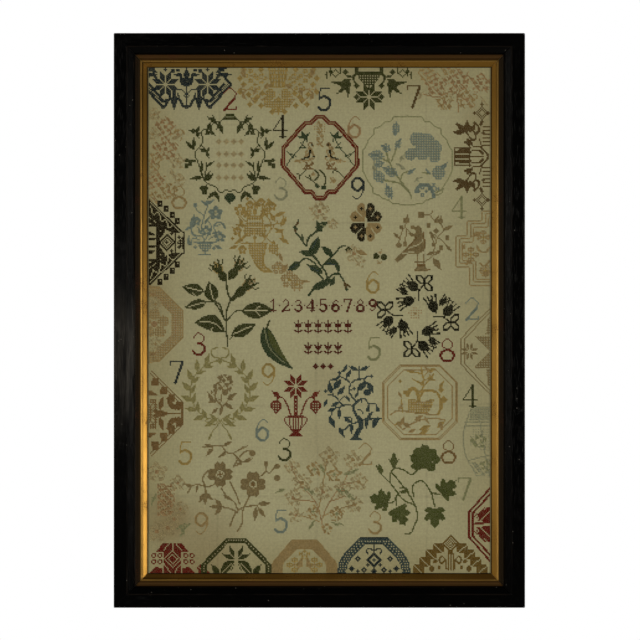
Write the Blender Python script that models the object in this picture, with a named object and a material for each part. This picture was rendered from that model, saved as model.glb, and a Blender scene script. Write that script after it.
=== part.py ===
"""A framed cross stitch sampler: linen stretched flat in an ebonised frame with a gilt slip.

Metres, +Z up. The face looks toward -Y. The origin is the centre of the flat back, at the wall.
"""

import math

import bmesh
import bpy

# Whole frame, outside sizes
FRAME_WIDTH = 0.395
FRAME_HEIGHT = 0.552
FRAME_DEPTH = 0.020

# Air between neighbouring pieces
GAP = 0.0003

# Black rail, seen from the front and in section
RAIL_FACE = 0.0202
RAIL_FLAT = 0.0124
RAIL_BEVEL_END = 0.0186
RAIL_BEVEL_DROP = 0.0032
RAIL_ARRIS = 0.0010
LIP_WIDTH = 0.0070
LIP_THICKNESS = 0.0013
LIP_NOSE = 0.0006

# Gilt slip, seen from the front and in section
SLIP_FACE = 0.0116
SLIP_CREST = 0.0058
SLIP_HOLLOW = 0.0011
SLIP_CREST_RADIUS = 0.0006
SLIP_EDGE = 0.0014
SLIP_CREST_HEIGHT = 0.0070

# Backboard and cloth
BOARD_THICKNESS = 0.0045
CLOTH_THICKNESS = 0.0012
PUCKER = 0.0005
CLOTH_COLUMNS = 14
CLOTH_ROWS = 20

# Steps in a rounded edge and in the hollow of the slip
ARC_STEPS = 4
HOLLOW_STEPS = 6

# Distances forward from the wall, and inward from the outside, that follow from the sizes above
REBATE_EDGE = RAIL_FACE - LIP_WIDTH
CLOTH_BACK = BOARD_THICKNESS + GAP
CLOTH_FRONT = CLOTH_BACK + CLOTH_THICKNESS
SLIP_BACK = CLOTH_FRONT + GAP
SLIP_TOP = SLIP_BACK + SLIP_CREST_HEIGHT
LIP_BACK = SLIP_TOP + GAP
SIGHT_INSET = RAIL_FACE + SLIP_FACE

# Finishes: colour, roughness, metallic
EBONISED = ("ebonised_wood", (0.010, 0.0095, 0.009), 0.38, 0.0)
GILT = ("gilt_wood", (0.42, 0.27, 0.085), 0.42, 0.9)
LINEN = ("linen_cloth", (0.27, 0.24, 0.15), 0.95, 0.0)
BOARD = ("back_board", (0.23, 0.15, 0.085), 0.85, 0.0)


def clear_scene():
    """Remove every object, so that the model starts from nothing."""
    for item in list(bpy.data.objects):
        bpy.data.objects.remove(item, do_unlink=True)


def finish(name, colour, roughness, metallic):
    """Make one Principled material."""
    material = bpy.data.materials.new(name)
    material.use_nodes = True
    shader = material.node_tree.nodes["Principled BSDF"]
    shader.inputs["Base Color"].default_value = (*colour, 1.0)
    shader.inputs["Roughness"].default_value = roughness
    shader.inputs["Metallic"].default_value = metallic
    return material


def add_piece(name, shape, material):
    """Turn a bmesh into a named object with its own material."""
    bmesh.ops.recalc_face_normals(shape, faces=shape.faces)
    mesh = bpy.data.meshes.new(name)
    shape.to_mesh(mesh)
    shape.free()
    mesh.materials.append(material)
    piece = bpy.data.objects.new(name, mesh)
    bpy.context.scene.collection.objects.link(piece)
    return piece


def arc(centre, radius, start, end, steps=ARC_STEPS):
    """Points on an arc round a centre, with angles in degrees from +inward toward +forward."""
    points = []
    for step in range(steps + 1):
        angle = math.radians(start + (end - start) * step / steps)
        inward = centre[0] + radius * math.cos(angle)
        forward = centre[1] + radius * math.sin(angle)
        points.append((inward, forward))
    return points


def rail_section():
    """The black rail in section: a flat face, a bevel down to the lip, and the rebate behind it."""
    bevel_foot = FRAME_DEPTH - RAIL_BEVEL_DROP
    points = [(0.0, 0.0), (REBATE_EDGE, 0.0), (REBATE_EDGE, LIP_BACK), (RAIL_FACE, LIP_BACK)]
    nose = (RAIL_FACE - LIP_NOSE, LIP_BACK + LIP_THICKNESS - LIP_NOSE)
    points += arc(nose, LIP_NOSE, 0.0, 70.0)
    points.append((RAIL_BEVEL_END, bevel_foot))
    points.append((RAIL_FLAT + RAIL_ARRIS, FRAME_DEPTH - RAIL_ARRIS * 0.3))
    points.append((RAIL_FLAT, FRAME_DEPTH))
    points += arc((RAIL_ARRIS, FRAME_DEPTH - RAIL_ARRIS), RAIL_ARRIS, 90.0, 180.0)
    return points


def slip_section():
    """The gilt slip in section: a tongue under the lip, a hollow, a round crest and a slope to the cloth."""
    outer = REBATE_EDGE + GAP
    crest = RAIL_FACE + SLIP_CREST
    sight = SIGHT_INSET
    points = [(outer, SLIP_BACK), (sight, SLIP_BACK), (sight, SLIP_BACK + SLIP_EDGE)]
    points += arc((crest, SLIP_TOP - SLIP_CREST_RADIUS), SLIP_CREST_RADIUS, 45.0, 100.0)
    hollow_start = crest - SLIP_CREST_RADIUS
    for step in range(1, HOLLOW_STEPS + 1):
        share = step / HOLLOW_STEPS
        inward = hollow_start + (RAIL_FACE - hollow_start) * share
        forward = SLIP_TOP - SLIP_HOLLOW * math.sin(math.pi * share) - SLIP_CREST_RADIUS * 0.2
        points.append((inward, forward))
    points.append((outer, SLIP_TOP - SLIP_CREST_RADIUS * 0.2))
    return points


def mitred_length(name, section, side, material):
    """One side of a mitred frame: a section run along its side, with both ends cut at 45 degrees."""
    pull_back = GAP / math.sqrt(2.0)
    half_width = FRAME_WIDTH / 2.0
    half_height = FRAME_HEIGHT / 2.0
    sign = 1.0 if side in ("top", "right") else -1.0
    shape = bmesh.new()
    rings = []
    for end in (-1.0, 1.0):
        ring = []
        for inward, forward in section:
            if side in ("top", "bottom"):
                place = (end * (half_width - inward - pull_back), -forward, sign * (half_height - inward))
            else:
                place = (sign * (half_width - inward), -forward, end * (half_height - inward - pull_back))
            ring.append(shape.verts.new(place))
        rings.append(ring)
    count = len(section)
    for index in range(count):
        following = (index + 1) % count
        corners = (rings[0][index], rings[0][following], rings[1][following], rings[1][index])
        shape.faces.new(corners)
    for ring in rings:
        shape.faces.new(ring)
    return add_piece(name, shape, material)


def pucker_at(across, up):
    """How far the stretched cloth stands forward, from 0 to 1, for places from -1 to 1 in the sight."""
    window = max(0.0, 1.0 - across**4) * max(0.0, 1.0 - up**4)
    long_fold = math.exp(-(((up - 0.06) / 0.09) ** 2))
    low_fold = 0.7 * math.exp(-(((up + 0.52 + 0.05 * across) / 0.08) ** 2))
    upright_fold = 0.6 * math.exp(-(((across + 0.04) / 0.12) ** 2))
    slack = 0.35 + 0.25 * math.sin(2.1 * across + 1.3) * math.cos(2.6 * up - 0.4)
    return window * min(1.0, slack + 0.4 * (long_fold + low_fold + upright_fold))


def linen_sheet(material):
    """The stretched linen: one thin sheet, flat under the slip and slightly puckered inside it."""
    half_width = FRAME_WIDTH / 2.0 - REBATE_EDGE - GAP
    half_height = FRAME_HEIGHT / 2.0 - REBATE_EDGE - GAP
    sight_width = FRAME_WIDTH / 2.0 - SIGHT_INSET
    sight_height = FRAME_HEIGHT / 2.0 - SIGHT_INSET
    shape = bmesh.new()
    layers = []
    for base in (CLOTH_BACK, CLOTH_FRONT):
        rows = []
        for row in range(CLOTH_ROWS + 1):
            up = half_height * (2.0 * row / CLOTH_ROWS - 1.0)
            line = []
            for column in range(CLOTH_COLUMNS + 1):
                across = half_width * (2.0 * column / CLOTH_COLUMNS - 1.0)
                stand = 0.0
                if abs(across) < sight_width and abs(up) < sight_height:
                    stand = PUCKER * pucker_at(across / sight_width, up / sight_height)
                line.append(shape.verts.new((across, -(base + stand), up)))
            rows.append(line)
        layers.append(rows)
    for rows in layers:
        for row in range(CLOTH_ROWS):
            for column in range(CLOTH_COLUMNS):
                lower = (rows[row][column], rows[row][column + 1])
                upper = (rows[row + 1][column + 1], rows[row + 1][column])
                shape.faces.new(lower + upper)
    rim = [(0, column) for column in range(CLOTH_COLUMNS)]
    rim += [(row, CLOTH_COLUMNS) for row in range(CLOTH_ROWS)]
    rim += [(CLOTH_ROWS, column) for column in range(CLOTH_COLUMNS, 0, -1)]
    rim += [(row, 0) for row in range(CLOTH_ROWS, 0, -1)]
    for index, (row, column) in enumerate(rim):
        next_row, next_column = rim[(index + 1) % len(rim)]
        back = (layers[0][row][column], layers[0][next_row][next_column])
        front = (layers[1][next_row][next_column], layers[1][row][column])
        shape.faces.new(back + front)
    return add_piece("linen", shape, material)


def back_board(material):
    """A plain board that closes the back, flush with the rails."""
    half_width = FRAME_WIDTH / 2.0 - REBATE_EDGE - GAP
    half_height = FRAME_HEIGHT / 2.0 - REBATE_EDGE - GAP
    shape = bmesh.new()
    bmesh.ops.create_cube(shape, size=1.0)
    for point in shape.verts:
        point.co.x *= 2.0 * half_width
        point.co.y = -BOARD_THICKNESS if point.co.y < 0.0 else 0.0
        point.co.z *= 2.0 * half_height
    return add_piece("backboard", shape, material)


def main():
    """Build the ten pieces of the sampler."""
    clear_scene()
    for side in ("top", "bottom", "left", "right"):
        mitred_length("rail_" + side, rail_section(), side, finish(*EBONISED))
        mitred_length("slip_" + side, slip_section(), side, finish(*GILT))
    linen_sheet(finish(*LINEN))
    back_board(finish(*BOARD))


main()
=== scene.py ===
"""Looks of the framed cross stitch sampler: linen, stitches, ebonised rails, gilt slip and studio.

Everything is in metres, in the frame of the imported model: +Z up, the stitched face toward -Y, the
origin at the centre of the flat back. The motifs are drawn in stitches, counted from the middle.
"""

import logging
import math
from dataclasses import dataclass, field, replace
from enum import Enum

import bpy
import numpy as np
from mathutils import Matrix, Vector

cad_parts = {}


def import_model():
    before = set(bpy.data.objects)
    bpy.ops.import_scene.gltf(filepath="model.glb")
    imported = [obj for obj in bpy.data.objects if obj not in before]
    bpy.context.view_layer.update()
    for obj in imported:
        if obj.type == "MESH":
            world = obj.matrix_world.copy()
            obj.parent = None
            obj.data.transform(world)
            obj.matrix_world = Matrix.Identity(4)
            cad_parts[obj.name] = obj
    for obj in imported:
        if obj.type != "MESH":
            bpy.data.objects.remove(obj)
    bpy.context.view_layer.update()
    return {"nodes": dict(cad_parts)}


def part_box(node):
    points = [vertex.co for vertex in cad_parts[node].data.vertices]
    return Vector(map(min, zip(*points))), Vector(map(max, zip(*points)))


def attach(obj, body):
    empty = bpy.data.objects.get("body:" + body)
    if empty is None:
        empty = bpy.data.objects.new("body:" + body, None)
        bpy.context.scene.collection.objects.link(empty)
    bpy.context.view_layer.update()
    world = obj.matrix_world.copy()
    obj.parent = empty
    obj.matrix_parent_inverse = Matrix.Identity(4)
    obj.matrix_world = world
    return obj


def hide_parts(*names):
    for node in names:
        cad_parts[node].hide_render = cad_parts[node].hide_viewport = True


LOG = logging.getLogger("sampler")

Point = tuple[float, float]
Points = tuple[Point, ...]
Colour = tuple[float, float, float]


def linear(colour: Colour, strength: float = 1.0) -> tuple[float, float, float, float]:
    """Turn a screen colour into the linear one that shaders take.

    Args:
        colour: Red, green and blue, from 0 to 255.
        strength: A factor on the linear colour.

    Returns:
        Linear red, green, blue and a full alpha.
    """
    channels = []
    for channel in colour:
        share = channel / 255.0
        value = share / 12.92 if share <= 0.04045 else ((share + 0.055) / 1.055) ** 2.4
        channels.append(value * strength)
    return (*channels, 1.0)


# Shader maths


class Value:
    """A number that varies over a surface, so that shader maths reads as a Python expression."""

    def __init__(self, paint: "Paint", socket: bpy.types.NodeSocket) -> None:
        """Wrap an output socket of the paint's node tree."""
        self.paint = paint
        self.socket = socket

    def maths(self, operation: str, other: "Value | float | None" = None, swap: bool = False) -> "Value":
        """Add one Math node.

        Args:
            operation: The Math node's operation.
            other: The second number, where the operation takes two.
            swap: Whether the other number comes first.

        Returns:
            The node's result.
        """
        given = [self] if other is None else [self, other]
        if swap:
            given.reverse()
        node = self.paint.node("ShaderNodeMath", {"operation": operation}, dict(enumerate(given)))
        return Value(self.paint, node.outputs[0])

    def __add__(self, other: "Value | float") -> "Value":
        """Add."""
        return self.maths("ADD", other)

    __radd__ = __add__

    def __mul__(self, other: "Value | float") -> "Value":
        """Multiply."""
        return self.maths("MULTIPLY", other)

    __rmul__ = __mul__

    def __sub__(self, other: "Value | float") -> "Value":
        """Take the other number from this one."""
        return self.maths("SUBTRACT", other)

    def __rsub__(self, other: float) -> "Value":
        """Take this number from the other one."""
        return self.maths("SUBTRACT", other, swap=True)

    def __truediv__(self, other: "Value | float") -> "Value":
        """Divide by the other number."""
        return self.maths("DIVIDE", other)

    def __pow__(self, other: "Value | float") -> "Value":
        """Raise to a power."""
        return self.maths("POWER", other)

    def __neg__(self) -> "Value":
        """Change the sign."""
        return self.maths("MULTIPLY", -1.0)

    def __abs__(self) -> "Value":
        """Drop the sign."""
        return self.maths("ABSOLUTE")

    def least(self, other: "Value | float") -> "Value":
        """The smaller of two numbers."""
        return self.maths("MINIMUM", other)

    def most(self, other: "Value | float") -> "Value":
        """The larger of two numbers."""
        return self.maths("MAXIMUM", other)

    def ramp(self, low: float, high: float) -> "Value":
        """Rise smoothly from 0 at the low number to 1 at the high one, or fall if they are swapped.

        Args:
            low: Where the ramp is 0.
            high: Where the ramp is 1.

        Returns:
            The ramp.
        """
        node = self.paint.node(
            "ShaderNodeMapRange",
            {"interpolation_type": "SMOOTHSTEP"},
            {"Value": self, "From Min": low, "From Max": high},
        )
        return Value(self.paint, node.outputs[0])

    def band(self, middle: float, reach: float) -> "Value":
        """A soft band that is 1 at its middle and 0 past its reach.

        Args:
            middle: Where the band is strongest.
            reach: How far it fades out on each side.

        Returns:
            The band.
        """
        return abs(self - middle).ramp(reach, 0.0)


class Paint:
    """The node tree of one material, built round a Principled shader."""

    def __init__(self, name: str) -> None:
        """Start a material with its shader and the place of each point on the piece."""
        self.material = bpy.data.materials.new(name)
        self.material.use_nodes = True
        self.tree = self.material.node_tree
        self.shader = self.tree.nodes["Principled BSDF"]
        self.place = self.node("ShaderNodeTexCoord").outputs["Object"]
        parts = self.node("ShaderNodeSeparateXYZ", sockets={0: self.place})
        self.across, self.deep, self.up = (Value(self, parts.outputs[index]) for index in range(3))

    def node(self, kind: str, settings: dict | None = None, sockets: dict | None = None) -> bpy.types.Node:
        """Add one node.

        Args:
            kind: The node's type.
            settings: The node's own settings, set first; "stops" are a ramp's places and colours.
            sockets: Numbers, colours, values or sockets for the node's inputs, by name or index.

        Returns:
            The node.
        """
        made = self.tree.nodes.new(kind)
        for name, setting in (settings or {}).items():
            if name == "stops":
                for index, (position, colour) in enumerate(setting):
                    elements = made.color_ramp.elements
                    stop = elements[0] if index == 0 else elements.new(position)
                    stop.position = position
                    stop.color = colour
                continue
            setattr(made, name, setting)
        for key, given in (sockets or {}).items():
            source = given.socket if isinstance(given, Value) else given
            if isinstance(source, bpy.types.NodeSocket):
                self.tree.links.new(source, made.inputs[key])
            else:
                made.inputs[key].default_value = source
        return made

    def stretched(self, stretch: Colour, offset: Colour = (0.0, 0.0, 0.0)) -> bpy.types.NodeSocket:
        """Places on the piece, stretched along the axes and moved.

        Args:
            stretch: A factor for each axis.
            offset: What is added along each axis.

        Returns:
            The places.
        """
        node = self.node(
            "ShaderNodeVectorMath", {"operation": "MULTIPLY_ADD"}, {0: self.place, 1: stretch, 2: offset}
        )
        return node.outputs[0]

    def noise(self, stretch: Colour, detail: float = 2.0, offset: Colour = (0.0, 0.0, 0.0)) -> Value:
        """Cloudy noise round a half.

        Args:
            stretch: How many lumps there are in a metre, for each axis.
            detail: How many finer layers are laid over it.
            offset: Where the pattern starts, to tell noises apart.

        Returns:
            The noise.
        """
        node = self.node(
            "ShaderNodeTexNoise", None,
            {"Vector": self.stretched(stretch, offset), "Scale": 1.0, "Detail": detail}
        )
        return Value(self, node.outputs[0])

    def speckle(self, stretch: Colour, offset: Colour = (0.0, 0.0, 0.0)) -> Value:
        """One random number for each cell of a grid.

        Args:
            stretch: How many cells there are in a metre, for each axis.
            offset: Where the grid starts.

        Returns:
            The random numbers.
        """
        places = self.stretched(stretch, offset)
        cells = self.node("ShaderNodeVectorMath", {"operation": "FLOOR"}, {0: places}).outputs[0]
        node = self.node("ShaderNodeTexWhiteNoise", {"noise_dimensions": "3D"}, {"Vector": cells})
        return Value(self, node.outputs[0])

    def mix(
        self, share: Value | float, first: object, second: object, blend: str = "MIX"
    ) -> bpy.types.NodeSocket:
        """Mix two colours.

        Args:
            share: How much of the second colour there is.
            first: The first colour, or a socket that gives it.
            second: The second colour, or a socket that gives it.
            blend: How the second is laid on the first.

        Returns:
            The mixed colour.
        """
        node = self.node(
            "ShaderNodeMix", {"data_type": "RGBA", "blend_type": blend}, {0: share, 6: first, 7: second}
        )
        return node.outputs[2]

    def dim(self, colour: object, factor: Value) -> bpy.types.NodeSocket:
        """Make a colour darker or lighter by a factor.

        Args:
            colour: The colour, or a socket that gives it.
            factor: What each channel is multiplied by.

        Returns:
            The new colour.
        """
        node = self.node("ShaderNodeVectorMath", {"operation": "SCALE"}, {0: colour, "Scale": factor})
        return node.outputs[0]

    def bump(self, height: Value, distance: float, strength: float = 1.0) -> None:
        """Raise the surface by a height map.

        Args:
            height: The height, as a share of the distance.
            distance: How high a height of 1 stands, in metres.
            strength: How much of the effect shows.
        """
        sockets = {"Height": height, "Distance": distance, "Strength": strength}
        node = self.node("ShaderNodeBump", None, sockets)
        self.tree.links.new(node.outputs[0], self.shader.inputs["Normal"])

    def dress(self, **sockets: object) -> bpy.types.Material:
        """Feed the shader and hand the material over.

        Args:
            **sockets: Numbers, colours, values or sockets, by input name with underscores for spaces.

        Returns:
            The material.
        """
        for name, given in sockets.items():
            socket = self.shader.inputs[name.replace("_", " ")]
            source = given.socket if isinstance(given, Value) else given
            if isinstance(source, bpy.types.NodeSocket):
                self.tree.links.new(source, socket)
            else:
                socket.default_value = source
        return self.material


# Sizes read from the frame


@dataclass(frozen=True)
class Sizes:
    """The frame's own sizes, and the count of the cloth."""

    stitch: float = 0.0012
    half_columns: int = 137
    half_rows: int = 202
    rail_face: float = 0.0202
    slip_crest: float = 0.0058
    half_width: float = 0.1975
    half_height: float = 0.276
    sight_half_width: float = 0.1657
    sight_half_height: float = 0.2442
    cloth_half_width: float = 0.184
    cloth_half_height: float = 0.2625
    cloth_back: float = 0.0048
    cloth_front: float = 0.0060
    pucker: float = 0.0005

    @classmethod
    def from_frame(cls) -> "Sizes":
        """Read the outside, the sight and the cloth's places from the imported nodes.

        Returns:
            The sizes.
        """
        outer_low, outer_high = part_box("rail_left")
        right_low, right_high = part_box("rail_right")
        _, slip_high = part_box("slip_left")
        low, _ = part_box("slip_top")
        cloth_low, cloth_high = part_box("linen")
        return cls(
            half_width=right_high[0],
            half_height=outer_high[2],
            sight_half_width=-slip_high[0],
            sight_half_height=low[2],
            cloth_half_width=cloth_high[0],
            cloth_half_height=cloth_high[2],
            cloth_back=-cloth_high[1],
        )


# Finishes


class Shade(Enum):
    """The threads of the work, each with the colour it has faded to."""

    RED = (112, 22, 19)
    MAROON = (88, 20, 20)
    NAVY = (29, 44, 52)
    BLUE = (50, 70, 74)
    SKY = (126, 140, 130)
    MIST = (156, 157, 128)
    GREEN = (57, 63, 28)
    TEAL = (49, 68, 44)
    LEAF = (84, 92, 46)
    OLIVE = (153, 146, 96)
    SAGE = (146, 148, 108)
    BROWN = (26, 16, 4)
    JET = (5, 7, 4)
    UMBER = (94, 72, 40)
    TAUPE = (142, 125, 86)
    ROSEWOOD = (132, 104, 64)
    GOLD = (170, 147, 86)
    SAND = (166, 144, 98)
    BLUSH = (166, 138, 98)
    OCHRE = (118, 93, 42)
    CREAM = (174, 160, 120)


EMPTY = -1
NUMBER = {shade: index for index, shade in enumerate(Shade)}


@dataclass(frozen=True)
class ThreadFinish:
    """Dull old embroidery thread: each cross a little different, the dye faded in patches."""

    shade: Shade
    stitch: float
    roughness: float = 0.9
    ground: Colour = (150, 142, 108)

    def build(self) -> bpy.types.Material:
        """Make the thread's material.

        Returns:
            The material.
        """
        paint = Paint("thread_" + self.shade.name.lower())
        per_stitch = 1.0 / self.stitch
        crosses = paint.speckle((per_stitch, 0.0, per_stitch), (0.5, 0.0, 0.5))
        patches = paint.noise((38.0, 38.0, 38.0), 3.0, (self.stitch * 1e3 * len(self.shade.name), 0.0, 0.0))
        strands = paint.noise((5200.0, 1800.0, 5200.0), 1.0)
        faded = linear(self.shade.value, 1.35)
        faded = tuple(0.85 * own + 0.15 * cloth for own, cloth in zip(faded, linear(self.ground)))
        colour = paint.mix(patches.ramp(0.46, 0.74) * 0.35, linear(self.shade.value), faded)
        tone = 0.84 + 0.30 * crosses + 0.30 * (strands - 0.5)
        colour = paint.dim(colour, tone)
        paint.bump(strands, 0.00012, 0.6)
        return paint.dress(Base_Color=colour, Roughness=self.roughness, Specular_IOR_Level=0.0)


@dataclass(frozen=True)
class LinenFinish:
    """Old even-weave linen: plain weave with uneven threads, creases with painted shade, and brown stains
    at its rim, which is darkened by age and by painted shade.
    """

    sizes: Sizes
    thread: float = 0.0006
    ground: Colour = (169, 165, 129)
    age_and_shade: Colour = (136, 127, 86)
    stain: Colour = (118, 96, 58)

    def build(self) -> bpy.types.Material:
        """Make the linen's material.

        Returns:
            The material.
        """
        paint = Paint("linen")
        across, up = paint.across, paint.up
        drift = paint.noise((26.0, 1.0, 26.0), 1.0, (3.1, 0.0, 0.0))
        warp = across / self.thread + drift * 1.6
        weft = up / self.thread + drift * 1.9
        warp_round = abs((warp * math.pi).maths("SINE"))
        weft_round = abs((weft * math.pi).maths("SINE"))
        odd = ((warp.maths("FLOOR") + weft.maths("FLOOR")) * 0.5).maths("FRACT") * 2.0
        warp_over = warp_round * (0.55 + 0.45 * weft_round)
        weft_over = weft_round * (0.55 + 0.45 * warp_round)
        weave = warp_over * odd + weft_over * (1.0 - odd)
        slub_weft = paint.noise((14.0, 1.0, 1050.0), 2.0, (0.0, 0.0, 4.0))
        slub_warp = paint.noise((1050.0, 1.0, 10.0), 2.0, (7.0, 0.0, 0.0))
        slubs = (slub_weft - 0.5) * 0.55 + (slub_warp - 0.5) * 0.45
        knots = paint.noise((420.0, 1.0, 420.0), 2.0, (9.0, 0.0, 3.0))
        clouds = paint.noise((11.0, 11.0, 11.0), 4.0, (1.7, 0.0, 5.2))
        # The rim darkens towards the frame, partly with age and partly as painted shade, and less on the
        # right side
        rim_across = abs(across) / self.sizes.sight_half_width
        rim_up = abs(up) / self.sizes.sight_half_height
        rim = rim_across.ramp(0.62, 1.08).most(rim_up.ramp(0.74, 1.06))
        rim = rim * (1.0 - across.ramp(0.08, 0.15) * 0.3)
        age_and_shade = (rim * (0.35 + 0.9 * clouds)).least(1.0)
        blots = self.blots(paint)
        colour = paint.mix(age_and_shade * 0.75, linear(self.ground), linear(self.age_and_shade))
        colour = paint.mix((blots * (0.5 + clouds)).least(0.8), colour, linear(self.stain))
        tone = 0.80 + 0.24 * weave + slubs * 0.30 + (knots - 0.5) * 0.40 + (clouds - 0.5) * 0.16
        # Painted shade along the old fold lines
        tone = tone - self.creases(paint) * 0.07
        colour = paint.dim(colour, tone)
        paint.bump(weave + slubs * 1.2, 0.00016, 0.75)
        return paint.dress(Base_Color=colour, Roughness=0.92, Specular_IOR_Level=0.2, Sheen_Weight=0.08)

    def blots(self, paint: Paint) -> Value:
        """Soft stains at a few places of the cloth.

        Args:
            paint: The linen's paint.

        Returns:
            How strong the stain is.
        """
        total = None
        for across, up, reach, strength in (
            (-0.150, -0.190, 0.030, 0.34), (0.004, -0.060, 0.024, 0.16), (0.002, -0.120, 0.034, 0.14),
            (-0.160, 0.020, 0.022, 0.22), (0.158, 0.190, 0.026, 0.18), (-0.118, -0.214, 0.055, 0.34),
            (0.120, -0.236, 0.020, 0.14), (-0.030, 0.236, 0.030, 0.12),
        ):
            wide = (paint.across - across) / reach
            high = (paint.up - up) / reach
            spot = (wide * wide + high * high).ramp(1.0, 0.0) * strength
            total = spot if total is None else total + spot
        return total

    def creases(self, paint: Paint) -> Value:
        """Thin lines of painted shade where the cloth was once folded.

        Args:
            paint: The linen's paint.

        Returns:
            How deep the painted shade of the crease is.
        """
        wander = (paint.noise((9.0, 9.0, 9.0), 2.0, (2.2, 0.0, 0.0)) - 0.5) * 0.010
        total = None
        for value, place, reach in (
            (paint.up, 0.094, 0.0022), (paint.up, 0.0165, 0.0030), (paint.up, -0.082, 0.0024),
            (paint.up, -0.170, 0.0022), (paint.across, -0.003, 0.0026), (paint.across, 0.104, 0.0018),
            (paint.across, -0.098, 0.0018),
        ):
            line = (value + wander).band(place, reach)
            total = line if total is None else total + line
        return total


@dataclass(frozen=True)
class EbonisedFinish:
    """Black stained and waxed wood: fine grain, dust, rubbed arrises, and at the left a worn, rougher
    stretch with a painted grey sheen.
    """

    sizes: Sizes
    upright: bool
    # Whether the rail has the worn stretch, which is rougher and carries a painted sheen
    worn: bool = False

    def build(self) -> bpy.types.Material:
        """Make the rail's material.

        Returns:
            The material.
        """
        run = "upright" if self.upright else "level"
        paint = Paint("ebonised_" + run + ("_worn" if self.worn else ""))
        sizes = self.sizes
        inward = (sizes.half_width - abs(paint.across)).least(sizes.half_height - abs(paint.up))
        along = (1500.0, 1500.0, 26.0) if self.upright else (26.0, 1500.0, 1500.0)
        grain = paint.noise(along, 3.0)
        pores = paint.noise(tuple(scale * 2.4 for scale in along), 1.0, (5.0, 0.0, 2.0))
        clouds = paint.noise((30.0, 30.0, 30.0), 3.0, (0.0, 3.0, 0.0))
        dust = paint.speckle((1300.0, 1300.0, 1300.0)).ramp(0.9992, 1.0)
        arris = inward.band(0.0004, 0.0011) + 0.7 * inward.band(0.0127, 0.0010)
        rubbed = (arris * (0.2 + clouds.ramp(0.42, 0.62))).least(1.0)
        colour = paint.mix(rubbed * 0.30, linear((3, 3, 3)), linear((40, 33, 27)))
        rough = 0.12 + 0.10 * grain + 0.05 * (clouds - 0.5)
        if self.worn:
            # Painted sheen: grey streaks along the grain are mixed into the colour at mid-height, where
            # wear also makes the wax rougher
            stretch = paint.up.band(-0.036, 0.090) * paint.noise((160.0, 160.0, 16.0), 2.0).ramp(0.36, 0.62)
            sheen_streaks = pores.ramp(0.50, 0.62) * stretch
            colour = paint.mix(stretch * 0.20 + sheen_streaks * 0.34, colour, linear((88, 84, 78)))
            rough = rough + 0.26 * stretch
        colour = paint.mix(dust * 0.4, colour, linear((140, 136, 128)))
        paint.bump(grain * 0.7 + pores.ramp(0.62, 0.72) * -0.5, 0.00010, 0.5)
        return paint.dress(Base_Color=colour, Roughness=rough, Specular_IOR_Level=0.05)


@dataclass(frozen=True)
class GiltFinish:
    """Old gilding specked with wear, with a painted highlight along its ridge, and painted shade in the
    hollow, inside the ridge and at the foot.
    """

    sizes: Sizes
    upright: bool
    leaf: Colour = (160, 121, 54)
    bole: Colour = (66, 34, 18)

    def build(self) -> bpy.types.Material:
        """Make the slip's material.

        Returns:
            The material.
        """
        paint = Paint("gilt_" + ("upright" if self.upright else "level"))
        sizes = self.sizes
        # Painted shade for the hollow under the rail's lip: near black on the uprights, dim brown on the
        # level slips
        painted_hollow_shade = linear((12, 8, 4) if self.upright else (64, 44, 20))
        inward = (sizes.half_width - abs(paint.across)).least(sizes.half_height - abs(paint.up))
        crest_place = sizes.rail_face + sizes.slip_crest
        # A painted highlight: a bright line along the ridge, also a little smoother
        crest_highlight = inward.band(crest_place, 0.0010)
        hollow = inward.ramp(crest_place - 0.0004, crest_place - 0.0016)
        # A painted shadow: a dark line at the slip's foot, where it meets the cloth
        foot = inward.ramp(crest_place + 0.0044, crest_place + 0.0054)
        # Painted shade: a dark line just inside the ridge, on the left slip only
        groove_shade = inward.band(crest_place + 0.0013, 0.0008) * paint.across.ramp(0.0, -0.1)
        clouds = paint.noise((60.0, 60.0, 60.0), 4.0)
        flecks = paint.noise((900.0, 900.0, 900.0), 2.0)
        worn = (clouds * 0.5 + flecks * 0.5).ramp(0.55, 0.66)
        colour = paint.mix(hollow * 0.98, linear(self.leaf), painted_hollow_shade)
        colour = paint.mix(crest_highlight * 0.35, colour, linear((206, 166, 96)))
        colour = paint.mix((foot + groove_shade * 0.8) * 0.9, colour, linear((30, 21, 10)))
        colour = paint.mix(worn * 0.6, colour, linear(self.bole))
        # Painted shade: on the uprights the ridge is dimmed towards the top, and on the left one towards
        # the bottom too
        if self.upright:
            head = paint.up.ramp(0.02, 0.23) * 0.7
            end = head.most(paint.up.ramp(-0.08, -0.23) * paint.across.ramp(0.0, -0.1) * 0.55)
            colour = paint.dim(colour, 1.0 - end * inward.band(crest_place, 0.0022))
        metallic = 0.92 - 0.30 * worn - 0.30 * hollow
        rough = 0.27 + 0.12 * clouds + 0.20 * hollow + 0.2 * worn - 0.02 * crest_highlight
        paint.bump(flecks * 0.6 + clouds * 0.6, 0.00012, 0.5)
        return paint.dress(Base_Color=colour, Roughness=rough, Metallic=metallic, Specular_IOR_Level=0.1)


@dataclass(frozen=True)
class BoardFinish:
    """A plain thin board with an even, straight grain."""

    colour: Colour = (134, 104, 72)

    def build(self) -> bpy.types.Material:
        """Make the board's material.

        Returns:
            The material.
        """
        paint = Paint("back_board")
        grain = paint.noise((420.0, 420.0, 7.0), 4.0)
        rings = paint.noise((46.0, 46.0, 2.2), 2.0, (4.0, 0.0, 0.0))
        clouds = paint.noise((8.0, 8.0, 8.0), 3.0)
        tone = 0.70 + 0.34 * grain + 0.30 * rings + 0.12 * clouds
        colour = paint.dim(linear(self.colour)[:3], tone)
        paint.bump(grain, 0.00012, 0.5)
        return paint.dress(Base_Color=colour, Roughness=0.8, Specular_IOR_Level=0.3)


# Charting


# Three crossed waves, in radians a crossing: thread is worn away wherever their sum is low
WEAR_WAVES = ((1.1, 0.8), (0.7, -1.4), (2.5, 1.9))
WEAR_LEVEL = -0.25


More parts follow.
